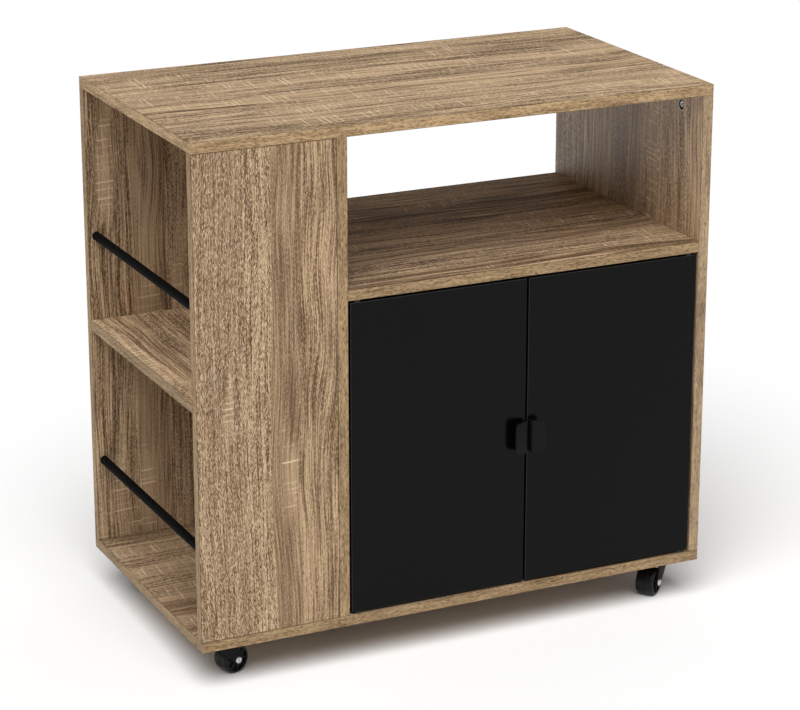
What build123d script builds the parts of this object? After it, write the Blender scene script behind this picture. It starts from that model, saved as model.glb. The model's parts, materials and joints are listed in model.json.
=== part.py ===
"""Kitchen trolley: an oak-effect board carcass with an open bay, a niche and two doors, on four casters."""

import os
from collections import namedtuple
from math import cos, radians, sin

from build123d import *

# Carcass boards
WIDTH = 750.0  # over the outer faces, left end to right side
DEPTH = 410.0  # over the front and back edges, without the pulls
BODY_HEIGHT = 685.0  # from the bottom board's underside to the worktop
BOARD = 15.0  # thickness of every oak-effect board
ARRIS = 0.5  # eased edge of a board
BAY_WIDTH = 197.0  # clear width of the open bay at the left end
BAY_UPPER_HEIGHT = 327.0  # clear height over the bay shelf
NICHE_HEIGHT = 202.0  # clear height of the niche over the doors

# Thin back board of the cabinet, held in grooves
BACK_THICKNESS = 3.0
BACK_INSET = 12.0  # from the rear edges to the groove
GROOVE_DEPTH = 6.0
GROOVE_PLAY = 0.2  # on each side of the board and at its edges

# Loose shelf in the cabinet and its pins
CABINET_SHELF_RISE = 225.0  # bottom board to the shelf's upper face
CABINET_SHELF_SETBACK = 30.0  # behind the doors
CABINET_SHELF_PLAY = 1.0  # to the side boards and the back board
SHELF_PIN_DIAMETER = 5.0
SHELF_PIN_COLLAR = 7.0
SHELF_PIN_REACH = 8.0  # into the board and out of it
SHELF_PIN_INSET = 40.0  # from the shelf's front and back edges

# Rails across the open end of the bay
RAIL_DIAMETER = 12.0
RAIL_INSET = 12.0  # rail axis behind the open end
RAIL_RISE = 120.0  # rail axis over the shelf or the bottom board
RAIL_SEAT = 8.0  # depth of the blind holes that hold the rails

# Hidden fasteners of the boards
FIT = 0.1  # radial play of a fastener in its hole
BLIND_FLOOR = 4.0  # board left behind a blind hole
CAM_DIAMETER = 15.0
CAM_FLOOR = 2.5  # board left behind a cam lock
CAM_SETBACK = 24.0  # cam axis from the joint
CAM_SLOT_LENGTH = 9.0
CAM_SLOT_WIDTH = 1.8
CAM_SLOT_DEPTH = 1.6
CAM_EDGE_INSET = 57.0  # cam axes from the front and back edges
CAM_END_INSET = 90.0  # cam axes of the bay's boards from their ends
CAM_CAVITY_PLAY = 0.2  # round the bolt's head inside the cam
BOLT_THREAD_DIAMETER = 5.0
BOLT_SHANK_DIAMETER = 6.0
BOLT_NECK_DIAMETER = 4.0
BOLT_NECK_LENGTH = 4.0
BOLT_HEAD_DIAMETER = 7.0
BOLT_HEAD_LENGTH = 3.0
BOLT_HEAD_PLAY = 0.5  # round the bolt's head in the hole that it goes in by
DOWEL_DIAMETER = 8.0
DOWEL_REACH = 20.0  # into the edge of a board
DOWEL_END_PLAY = 0.5
BAY_FASTENER_INSET = 45.0  # screws and dowels from the ends of the bay's boards
BASE_SCREW_HEAD_DIAMETER = 10.0
BASE_SCREW_HEAD_LENGTH = 3.0
BASE_SCREW_DIAMETER = 6.0
BASE_SCREW_LENGTH = 50.0

# Doors and their pivots
DOOR_GAP = 3.0  # all round and between the doors
DOOR_THICKNESS = 15.0
DOOR_ARRIS = 0.8
HEEL_CLEARANCE = 0.7  # door's turning heel to the board beside it
PIVOT_PLAY = 0.2  # between the flanges of two bushes
PIVOT_PIN_DIAMETER = 5.0
PIVOT_RUNNING_FIT = 0.05
PIVOT_BUSH_DIAMETER = 9.0
PIVOT_FLANGE_DIAMETER = 13.0
PIVOT_PIN_REACH = 8.0  # into each bush

# Magnetic catch behind the doors' upper free corners
CATCH_DEPTH = 14.0
CATCH_WALL = 2.0  # beside and under the magnets
CATCH_EAR = 3.0  # thickness of the screw ears
CATCH_EAR_WIDTH = 9.0
CATCH_GAP = 0.3  # strike plate to catch
CATCH_SCREW_DIAMETER = 3.0
CATCH_SCREW_HEAD = 6.0
CATCH_SCREW_HEAD_LENGTH = 2.0
CATCH_SCREW_REACH = 9.0
MAGNET_WIDTH = 14.0
MAGNET_DEPTH = 8.0
MAGNET_HEIGHT = 7.0
STRIKE_WIDTH = 18.0
STRIKE_HEIGHT = 12.0
STRIKE_THICKNESS = 1.2
STRIKE_INSET = 1.5  # from the door's free edge
STRIKE_DROP = 1.0  # below the door's upper edge
STRIKE_SCREW_DIAMETER = 2.5
STRIKE_SCREW_HEAD = 5.0
STRIKE_SCREW_REACH = 10.0

# Pulls: a thin leg beside the gap, a lip that leans away from the door and two posts for the screws
PULL_HEIGHT = 45.0
PULL_REACH = 19.5  # width of the lip
PULL_PROJECTION = 15.0  # lip's free edge in front of the door
PULL_LEG = 10.0  # the leg in front of the door
PULL_PLATE = 2.2
PULL_EDGE_INSET = 2.0  # leg behind the door's free edge
PULL_CORNER = 7.0
PULL_BEND = 1.5
PULL_POST = 8.0
PULL_THREAD = 6.0  # depth of the screw in a post
PULL_DROP = 4.0  # below the middle of the door
PULL_SCREW_DIAMETER = 4.0
PULL_SCREW_SPACING = 25.0
PULL_SCREW_HEAD = 8.0
PULL_SCREW_HEAD_LENGTH = 2.5

# Casters
CASTER_INSET = 45.0  # kingpin from the edges of the bottom board
CASTER_TRAIL = 16.0  # kingpin to axle
CASTER_PLATE = 42.0
CASTER_PLATE_THICKNESS = 2.0
CASTER_PLATE_CORNER = 6.0
CASTER_SCREW_INSET = 6.0  # from the edges of the plate
CASTER_SCREW_DIAMETER = 4.0
CASTER_SCREW_HEAD = 7.6
CASTER_SCREW_HEAD_LENGTH = 2.2
CASTER_SCREW_REACH = 10.0
DISH_DIAMETER = 27.0  # dish under the plate that the fork turns on
DISH_DEPTH = 6.7
SWIVEL_PLAY = 0.3
KINGPIN_DIAMETER = 6.0
KINGPIN_HEAD = 12.0
KINGPIN_HEAD_LENGTH = 1.8
FORK_CROWN = 2.5
FORK_CROWN_LENGTH = 30.0
FORK_CROWN_CORNER = 2.0
FORK_CROWN_CLEARANCE = 3.5  # over the wheel
FORK_LEG = 2.5
FORK_EYE = 15.0  # diameter of the leg's lower end
WHEEL_DIAMETER = 40.0
WHEEL_WIDTH = 26.0
WHEEL_SIDE_PLAY = 0.7
WHEEL_EDGE = 3.5
WHEEL_HUB = 13.0
WHEEL_RIM_LAND = 1.0  # flat of the rim between its rounded edge and the side recess
WHEEL_RECESS = 3.0
AXLE_DIAMETER = 5.0
AXLE_RUNNING_FIT = 0.06
AXLE_HEAD = 10.0
AXLE_HEAD_LENGTH = 2.0
AXLE_HEAD_ROUND = 1.2
CASTER_TURNS = {"front_left": 17, "front_right": 218, "rear_left": 40, "rear_right": 150}  # degrees

# Levels of the casters, from the floor at z = 0 up to the bottom board
axle_level = WHEEL_DIAMETER / 2
crown_underside = WHEEL_DIAMETER + FORK_CROWN_CLEARANCE
crown_top = crown_underside + FORK_CROWN
dish_bottom = crown_top + SWIVEL_PLAY
plate_underside = dish_bottom + DISH_DEPTH
underside = plate_underside + CASTER_PLATE_THICKNESS

# Levels and planes of the boards; the doors face -Y
left = -WIDTH / 2
right = WIDTH / 2
front = -(DEPTH - PULL_PROJECTION) / 2
back = front + DEPTH
middle = (front + back) / 2
floor_top = underside + BOARD
worktop = underside + BODY_HEIGHT
ceiling = worktop - BOARD
bay_right = left + BAY_WIDTH
cabinet_left = bay_right + BOARD
cabinet_right = right - BOARD
niche_floor = ceiling - NICHE_HEIGHT
cabinet_top = niche_floor - BOARD
bay_shelf_top = ceiling - BAY_UPPER_HEIGHT
bay_front = front + BOARD
bay_back = back - BOARD
groove_front = back - BACK_INSET - BACK_THICKNESS - 2 * GROOVE_PLAY
groove_back = back - BACK_INSET
door_back = front + DOOR_THICKNESS
door_centre = (cabinet_left + cabinet_right) / 2
cabinet_shelf_top = floor_top + CABINET_SHELF_RISE
shelf_front = door_back + CABINET_SHELF_SETBACK
shelf_back = groove_front - CABINET_SHELF_PLAY

# The door's heel turns about its pivot and clears the board beside it by HEEL_CLEARANCE
half_door = DOOR_THICKNESS / 2
heel_squares = DOOR_GAP**2 + half_door**2 - HEEL_CLEARANCE**2
pivot_inset = heel_squares / (2 * (DOOR_GAP - HEEL_CLEARANCE))
pivot_y = front + half_door
pivot_flange = (DOOR_GAP - PIVOT_PLAY) / 2
pivot_places = [(cabinet_left + pivot_inset, pivot_y), (cabinet_right - pivot_inset, pivot_y)]

os.makedirs("parts", exist_ok=True)


def save(builder, name):
    """Labels a finished piece and writes it to its own file."""
    builder.part.label = name
    export_step(builder.part, f"parts/{name}.step")


def board(x, y, z, arris=ARRIS):
    """Adds a board between three pairs of limits, with eased edges."""
    limits = (x, y, z)
    with Locations([tuple((low + high) / 2 for low, high in limits)]):
        Box(*(high - low for low, high in limits))
    chamfer(edges(), arris)


def rod(plane, start, end, diameter, mode=Mode.ADD):
    """A round rod or hole along a plane's normal, between two distances from its origin."""
    with Locations(plane.offset(start)):
        Cylinder(diameter / 2, end - start, align=(Align.CENTER, Align.CENTER, Align.MIN), mode=mode)


def toward(origin, direction):
    """A plane at a point whose normal is the given direction."""
    return Plane(origin=origin, z_dir=direction)


# Cam joints: where the bolt crosses the joint, the way it runs into the board with the cam, the cam's face
CamJoint = namedtuple("CamJoint", "seat run face")
cam_rows = (front + CAM_EDGE_INSET, back - CAM_EDGE_INSET)
bay_cam_levels = (floor_top + CAM_END_INSET, ceiling - CAM_END_INSET)
right_cams = [CamJoint((right - BOARD / 2, y, ceiling), (0, 0, -1), (-1, 0, 0)) for y in cam_rows]
partition_cams = [CamJoint((bay_right + BOARD / 2, y, ceiling), (0, 0, -1), (-1, 0, 0)) for y in cam_rows]
niche_level = niche_floor - BOARD / 2
niche_left_cams = [CamJoint((cabinet_left, y, niche_level), (1, 0, 0), (0, 0, -1)) for y in cam_rows]
niche_right_cams = [CamJoint((cabinet_right, y, niche_level), (-1, 0, 0), (0, 0, -1)) for y in cam_rows]
bay_shelf_level = bay_shelf_top - BOARD / 2
bay_shelf_cams = [CamJoint((bay_right, y, bay_shelf_level), (-1, 0, 0), (0, 0, -1)) for y in cam_rows]
bay_front_cams = [CamJoint((bay_right, front + BOARD / 2, z), (-1, 0, 0), (0, 1, 0)) for z in bay_cam_levels]
bay_back_cams = [CamJoint((bay_right, back - BOARD / 2, z), (-1, 0, 0), (0, -1, 0)) for z in bay_cam_levels]
top_cams = right_cams + partition_cams
niche_cams = niche_left_cams + niche_right_cams
bay_cams = bay_shelf_cams + bay_front_cams + bay_back_cams
all_cams = top_cams + niche_cams + bay_cams
cam_depth = BOARD - CAM_FLOOR
bolt_hole = BOLT_HEAD_DIAMETER + 2 * BOLT_HEAD_PLAY


def cam_face(joint):
    """The plane on the board's face over a cam, looking into the board along the cam's axis."""
    centre = Vector(joint.seat) + Vector(joint.run) * CAM_SETBACK
    return Plane(origin=centre + Vector(joint.face) * BOARD / 2, x_dir=joint.run, z_dir=-Vector(joint.face))


def cut_cam_seat(joint):
    """Cuts the cam's bore and the bolt's hole into the board that holds the cam."""
    rod(cam_face(joint), 0, cam_depth + FIT, CAM_DIAMETER + 2 * FIT, Mode.SUBTRACT)
    rod(toward(joint.seat, joint.run), 0, CAM_SETBACK, bolt_hole, Mode.SUBTRACT)


def cut_bolt_thread(joint):
    """Cuts the blind hole for the bolt's thread into the board that the joint pulls on."""
    reach = BOARD - BLIND_FLOOR
    rod(toward(joint.seat, -Vector(joint.run)), 0, reach, BOLT_THREAD_DIAMETER + 2 * FIT, Mode.SUBTRACT)


# Dowels: where the dowel crosses the joint and the way it runs into the edge of a board
Dowel = namedtuple("Dowel", "seat run")
down = (0, 0, -1)
up = (0, 0, 1)
bay_ends = (left + BAY_FASTENER_INSET, bay_right - BAY_FASTENER_INSET)
bay_middle = (left + bay_right) / 2
right_dowels_top = [Dowel((right - BOARD / 2, middle, ceiling), down)]
right_dowels_base = [Dowel((right - BOARD / 2, middle, floor_top), up)]
partition_dowels_top = [Dowel((bay_right + BOARD / 2, middle, ceiling), down)]
partition_dowels_base = [Dowel((bay_right + BOARD / 2, middle, floor_top), up)]
bay_front_dowels_top = [Dowel((x, front + BOARD / 2, ceiling), down) for x in bay_ends]
bay_front_dowels_base = [Dowel((bay_middle, front + BOARD / 2, floor_top), up)]
bay_back_dowels_top = [Dowel((x, back - BOARD / 2, ceiling), down) for x in bay_ends]
bay_back_dowels_base = [Dowel((bay_middle, back - BOARD / 2, floor_top), up)]
bay_shelf_dowels_front = [Dowel((bay_ends[0], bay_front, bay_shelf_level), (0, 1, 0))]
bay_shelf_dowels_back = [Dowel((bay_ends[0], bay_back, bay_shelf_level), (0, -1, 0))]
top_dowels = right_dowels_top + partition_dowels_top + bay_front_dowels_top + bay_back_dowels_top
base_dowels = right_dowels_base + partition_dowels_base + bay_front_dowels_base + bay_back_dowels_base
bay_shelf_dowels = bay_shelf_dowels_front + bay_shelf_dowels_back
all_dowels = top_dowels + base_dowels + bay_shelf_dowels
dowel_face_depth = BOARD - BLIND_FLOOR


def cut_dowel_edge(dowel):
    """Cuts the long blind hole of a dowel into the edge of a board."""
    depth = DOWEL_REACH + DOWEL_END_PLAY
    rod(toward(dowel.seat, dowel.run), 0, depth, DOWEL_DIAMETER + 2 * FIT, Mode.SUBTRACT)


def cut_dowel_face(dowel):
    """Cuts the short blind hole of a dowel into the face of a board."""
    rod(toward(dowel.seat, -Vector(dowel.run)), 0, dowel_face_depth, DOWEL_DIAMETER + 2 * FIT, Mode.SUBTRACT)


# Screws up through the bottom board, each given by its place on the underside
right_base_screws = [(right - BOARD / 2, y) for y in cam_rows]
partition_base_screws = [(bay_right + BOARD / 2, y) for y in cam_rows]
bay_front_base_screws = [(x, front + BOARD / 2) for x in bay_ends]
bay_back_base_screws = [(x, back - BOARD / 2) for x in bay_ends]
base_screw_places = right_base_screws + partition_base_screws + bay_front_base_screws + bay_back_base_screws


def cut_base_screw(place):
    """Cuts a base screw's stepped hole through the bottom board or into an upright's lower end."""
    axis = toward((*place, underside), up)
    rod(axis, 0, BASE_SCREW_HEAD_LENGTH, BASE_SCREW_HEAD_DIAMETER + 2 * FIT, Mode.SUBTRACT)
    rod(axis, 0, BASE_SCREW_LENGTH + DOWEL_END_PLAY, BASE_SCREW_DIAMETER + 2 * FIT, Mode.SUBTRACT)


def cut_panel_bush(place, level, direction):
    """Cuts the seat of a door pivot's bush into a board's face."""
    depth = BOARD - BLIND_FLOOR
    rod(toward((*place, level), direction), 0, depth, PIVOT_BUSH_DIAMETER + 2 * FIT, Mode.SUBTRACT)


def groove(x, z):
    """Cuts a run of the groove that holds the thin back board."""
    with Locations([((x[0] + x[1]) / 2, (groove_front + groove_back) / 2, (z[0] + z[1]) / 2)]):
        Box(x[1] - x[0], groove_back - groove_front, z[1] - z[0], mode=Mode.SUBTRACT)


# Casters: name, kingpin place, and the directions in which the axle trails and points
Caster = namedtuple("Caster", "name x y trail axle")
caster_columns = {"left": left + CASTER_INSET, "right": right - CASTER_INSET}
caster_rows = {"front": front + CASTER_INSET, "rear": back - CASTER_INSET}
casters = []
for caster_name, turn in CASTER_TURNS.items():
    row, column = caster_name.split("_")
    trail = Vector(cos(radians(turn)), sin(radians(turn)), 0)
    across = Vector(-sin(radians(turn)), cos(radians(turn)), 0)
    casters.append(Caster(caster_name, caster_columns[column], caster_rows[row], trail, across))
half_screw_spacing = CASTER_PLATE / 2 - CASTER_SCREW_INSET
screw_corners = [(i * half_screw_spacing, j * half_screw_spacing) for i in (-1, 1) for j in (-1, 1)]
caster_screw_places = [(caster.x + dx, caster.y + dy) for caster in casters for dx, dy in screw_corners]

# Magnetic catch, whose magnets lie behind the strike plates
catch_front = door_back + STRIKE_THICKNESS + CATCH_GAP
catch_middle = catch_front + CATCH_DEPTH / 2
strike_offset = DOOR_GAP / 2 + STRIKE_INSET + STRIKE_WIDTH / 2
strike_level = cabinet_top - DOOR_GAP - STRIKE_DROP - STRIKE_HEIGHT / 2
catch_body = 2 * (strike_offset + MAGNET_WIDTH / 2 + CATCH_WALL)
catch_height = cabinet_top - strike_level + MAGNET_HEIGHT / 2 + CATCH_WALL
catch_screw_offset = (catch_body + CATCH_EAR_WIDTH) / 2
catch_screw_places = [(door_centre + sign * catch_screw_offset, catch_middle) for sign in (-1, 1)]

# Worktop
with BuildPart() as top_panel:
    board((left, right), (front, back), (ceiling, worktop))
    for joint in top_cams:
        cut_bolt_thread(joint)
    for dowel in top_dowels:
        cut_dowel_face(dowel)
save(top_panel, "top_panel")

# Bottom board, which the uprights stand on and the casters carry
with BuildPart() as bottom_panel:
    board((left, right), (front, back), (underside, floor_top))
    for place in base_screw_places:
        cut_base_screw(place)
    for dowel in base_dowels:
        cut_dowel_face(dowel)
    for place in pivot_places:
        cut_panel_bush(place, floor_top, down)
    for place in caster_screw_places:
        hole = toward((*place, underside), up)
        rod(hole, 0, CASTER_SCREW_REACH + FIT, CASTER_SCREW_DIAMETER + 2 * FIT, Mode.SUBTRACT)
    groove_ends = (cabinet_left - GROOVE_DEPTH, cabinet_right + GROOVE_DEPTH)
    groove(groove_ends, (floor_top - GROOVE_DEPTH, floor_top))
save(bottom_panel, "bottom_panel")

# Right side board
shelf_pin_rows = (shelf_front + SHELF_PIN_INSET, shelf_back - SHELF_PIN_INSET)
shelf_pin_level = cabinet_shelf_top - BOARD - FIT - SHELF_PIN_COLLAR / 2
right_pins = [toward((cabinet_right, y, shelf_pin_level), (1, 0, 0)) for y in shelf_pin_rows]
left_pins = [toward((cabinet_left, y, shelf_pin_level), (-1, 0, 0)) for y in shelf_pin_rows]
groove_height = (floor_top, cabinet_top + GROOVE_DEPTH)
with BuildPart() as right_side_panel:
    board((cabinet_right, right), (front, back), (floor_top, ceiling))
    for joint in right_cams:
        cut_cam_seat(joint)
    for joint in niche_right_cams:
        cut_bolt_thread(joint)
    for dowel in right_dowels_top + right_dowels_base:
        cut_dowel_edge(dowel)
    for place in right_base_screws:
        cut_base_screw(place)
    for hole in right_pins:
        rod(hole, 0, SHELF_PIN_REACH + FIT, SHELF_PIN_DIAMETER + 2 * FIT, Mode.SUBTRACT)
    groove((cabinet_right, cabinet_right + GROOVE_DEPTH), groove_height)
save(right_side_panel, "right_side_panel")

# Partition between the bay and the cabinet
with BuildPart() as partition_panel:
    board((bay_right, cabinet_left), (front, back), (floor_top, ceiling))
    for joint in partition_cams:
        cut_cam_seat(joint)
    for joint in niche_left_cams + bay_cams:
        cut_bolt_thread(joint)
    for dowel in partition_dowels_top + partition_dowels_base:
        cut_dowel_edge(dowel)
    for place in partition_base_screws:
        cut_base_screw(place)
    for hole in left_pins:
        rod(hole, 0, SHELF_PIN_REACH + FIT, SHELF_PIN_DIAMETER + 2 * FIT, Mode.SUBTRACT)
    groove((cabinet_left - GROOVE_DEPTH, cabinet_left), groove_height)
save(partition_panel, "partition_panel")

# Front and back boards of the open bay, with blind holes for the rails
rail_levels = {"upper_rail": bay_shelf_top + RAIL_RISE, "lower_rail": floor_top + RAIL_RISE}
rail_x = left + RAIL_INSET
rail_axes = {name: toward((rail_x, bay_front, level), (0, 1, 0)) for name, level in rail_levels.items()}
rail_span = bay_back - bay_front
with BuildPart() as bay_front_panel:
    board((left, bay_right), (front, bay_front), (floor_top, ceiling))
    for joint in bay_front_cams:
        cut_cam_seat(joint)
    for dowel in bay_front_dowels_top + bay_front_dowels_base:
        cut_dowel_edge(dowel)
    for dowel in bay_shelf_dowels_front:
        cut_dowel_face(dowel)
    for place in bay_front_base_screws:
        cut_base_screw(place)
    for axis in rail_axes.values():
        rod(axis, -RAIL_SEAT - FIT, 0, RAIL_DIAMETER + 2 * FIT, Mode.SUBTRACT)
save(bay_front_panel, "bay_front_panel")

with BuildPart() as bay_back_panel:
    board((left, bay_right), (bay_back, back), (floor_top, ceiling))
    for joint in bay_back_cams:
        cut_cam_seat(joint)
    for dowel in bay_back_dowels_top + bay_back_dowels_base:
        cut_dowel_edge(dowel)
    for dowel in bay_shelf_dowels_back:
        cut_dowel_face(dowel)
    for place in bay_back_base_screws:
        cut_base_screw(place)
    for axis in rail_axes.values():
        rod(axis, rail_span, rail_span + RAIL_SEAT + FIT, RAIL_DIAMETER + 2 * FIT, Mode.SUBTRACT)
save(bay_back_panel, "bay_back_panel")

# Shelf of the bay, flush with its open end
with BuildPart() as bay_shelf:
    board((left, bay_right), (bay_front, bay_back), (bay_shelf_top - BOARD, bay_shelf_top))
    for joint in bay_shelf_cams:
        cut_cam_seat(joint)
    for dowel in bay_shelf_dowels:
        cut_dowel_edge(dowel)
save(bay_shelf, "bay_shelf")

# Floor of the niche, which is the ceiling over the doors
with BuildPart() as niche_shelf:
    board((cabinet_left, cabinet_right), (front, back), (cabinet_top, niche_floor))
    for joint in niche_cams:
        cut_cam_seat(joint)
    for place in pivot_places:
        cut_panel_bush(place, cabinet_top, up)
    for place in catch_screw_places:
        hole = toward((*place, cabinet_top), up)
        rod(hole, 0, CATCH_SCREW_REACH, CATCH_SCREW_DIAMETER + 2 * FIT, Mode.SUBTRACT)
    groove((cabinet_left, cabinet_right), (cabinet_top, cabinet_top + GROOVE_DEPTH))
save(niche_shelf, "niche_shelf")

# Thin back board of the cabinet
back_edge = GROOVE_DEPTH - GROOVE_PLAY
with BuildPart() as cabinet_back_panel:
    with Locations([(door_centre, (groove_front + groove_back) / 2, (floor_top + cabinet_top) / 2)]):
        Box(
            cabinet_right - cabinet_left + 2 * back_edge,
            BACK_THICKNESS,
            cabinet_top - floor_top + 2 * back_edge,
        )
save(cabinet_back_panel, "cabinet_back_panel")

# Loose shelf behind the doors, lying on four pins
with BuildPart() as cabinet_shelf:
    board(
        (cabinet_left + CABINET_SHELF_PLAY, cabinet_right - CABINET_SHELF_PLAY),
        (shelf_front, shelf_back),
        (cabinet_shelf_top - BOARD, cabinet_shelf_top),
    )
save(cabinet_shelf, "cabinet_shelf")

with BuildPart() as shelf_pins:
    for axis in left_pins + right_pins:
        rod(axis, 0, SHELF_PIN_REACH, SHELF_PIN_DIAMETER)
        rod(axis, -SHELF_PIN_REACH, 0, SHELF_PIN_COLLAR)
save(shelf_pins, "shelf_pins")

# Rails
for rail_name, axis in rail_axes.items():
    with BuildPart() as rail:
        rod(axis, -RAIL_SEAT, rail_span + RAIL_SEAT, RAIL_DIAMETER)
    save(rail, rail_name)

# Cam locks with a crossed driver slot, and a cavity that takes the bolt's head
cavity_end = CAM_SETBACK + BOLT_HEAD_LENGTH / 2 + CAM_CAVITY_PLAY
cavity_diameter = BOLT_HEAD_DIAMETER + 2 * CAM_CAVITY_PLAY
with BuildPart() as cam_locks:
    for joint in all_cams:
        face = cam_face(joint)
        rod(face, 0, cam_depth, CAM_DIAMETER)
        with Locations(face):
            Box(CAM_SLOT_LENGTH, CAM_SLOT_WIDTH, 2 * CAM_SLOT_DEPTH, mode=Mode.SUBTRACT)
            Box(CAM_SLOT_WIDTH, CAM_SLOT_LENGTH, 2 * CAM_SLOT_DEPTH, mode=Mode.SUBTRACT)
        rod(toward(joint.seat, joint.run), 0, cavity_end, cavity_diameter, Mode.SUBTRACT)
save(cam_locks, "cam_locks")

# Cam bolts: thread, shank, neck and head
bolt_head_start = CAM_SETBACK - BOLT_HEAD_LENGTH / 2
bolt_neck_start = bolt_head_start - BOLT_NECK_LENGTH
with BuildPart() as cam_bolts:
    for joint in all_cams:
        axis = toward(joint.seat, joint.run)
        rod(axis, FIT - (BOARD - BLIND_FLOOR), 0, BOLT_THREAD_DIAMETER)
        rod(axis, 0, bolt_neck_start, BOLT_SHANK_DIAMETER)
        rod(axis, bolt_neck_start, bolt_head_start, BOLT_NECK_DIAMETER)
        rod(axis, bolt_head_start, bolt_head_start + BOLT_HEAD_LENGTH, BOLT_HEAD_DIAMETER)
save(cam_bolts, "cam_bolts")

# Dowels
with BuildPart() as wood_dowels:
    for dowel in all_dowels:
        rod(toward(dowel.seat, dowel.run), FIT - dowel_face_depth, DOWEL_REACH, DOWEL_DIAMETER)
save(wood_dowels, "wood_dowels")

# Screws up through the bottom board
with BuildPart() as base_screws:
    for place in base_screw_places:
        axis = toward((*place, underside), up)
        rod(axis, 0, BASE_SCREW_HEAD_LENGTH, BASE_SCREW_HEAD_DIAMETER)
        rod(axis, BASE_SCREW_HEAD_LENGTH, BASE_SCREW_LENGTH, BASE_SCREW_DIAMETER)
save(base_screws, "base_screws")

# Flanged bushes in the boards over and under the doors' pivots
bush_bore = PIVOT_PIN_DIAMETER + 2 * PIVOT_RUNNING_FIT
bush_depth = BOARD - BLIND_FLOOR - FIT
with BuildPart() as pivot_panel_bushes:
    for place in pivot_places:
        for level, direction in ((floor_top, down), (cabinet_top, up)):
            axis = toward((*place, level), direction)
            rod(axis, 0, bush_depth, PIVOT_BUSH_DIAMETER)
            rod(axis, -pivot_flange, 0, PIVOT_FLANGE_DIAMETER)
            rod(axis, -pivot_flange, bush_depth, bush_bore, Mode.SUBTRACT)
save(pivot_panel_bushes, "pivot_panel_bushes")

# Catch housing with screw ears, open at the front over its two magnets
with BuildPart() as catch_housing:
    with Locations([(door_centre, catch_middle, cabinet_top - CATCH_EAR / 2)]):
        Box(catch_body + 2 * CATCH_EAR_WIDTH, CATCH_DEPTH, CATCH_EAR)
    with Locations([(door_centre, catch_middle, cabinet_top - catch_height / 2)]):
        Box(catch_body, CATCH_DEPTH, catch_height)
    for place in catch_screw_places:
        hole = toward((*place, cabinet_top), down)
        rod(hole, 0, CATCH_EAR, CATCH_SCREW_DIAMETER + 2 * FIT, Mode.SUBTRACT)
    for sign in (-1, 1):
        with Locations([(door_centre + sign * strike_offset, catch_front + MAGNET_DEPTH / 2, strike_level)]):
            Box(MAGNET_WIDTH + 2 * FIT, MAGNET_DEPTH, MAGNET_HEIGHT + 2 * FIT, mode=Mode.SUBTRACT)
save(catch_housing, "catch_housing")

with BuildPart() as catch_magnets:
    for sign in (-1, 1):
        with Locations([(door_centre + sign * strike_offset, catch_front + MAGNET_DEPTH / 2, strike_level)]):
            Box(MAGNET_WIDTH, MAGNET_DEPTH - 2 * FIT, MAGNET_HEIGHT)
save(catch_magnets, "catch_magnets")

with BuildPart() as catch_screws:
    for place in catch_screw_places:
        axis = toward((*place, cabinet_top - CATCH_EAR), up)
        rod(axis, -CATCH_SCREW_HEAD_LENGTH, 0, CATCH_SCREW_HEAD)
        rod(axis, 0, CATCH_EAR + CATCH_SCREW_REACH - FIT, CATCH_SCREW_DIAMETER)
save(catch_screws, "catch_screws")

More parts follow.
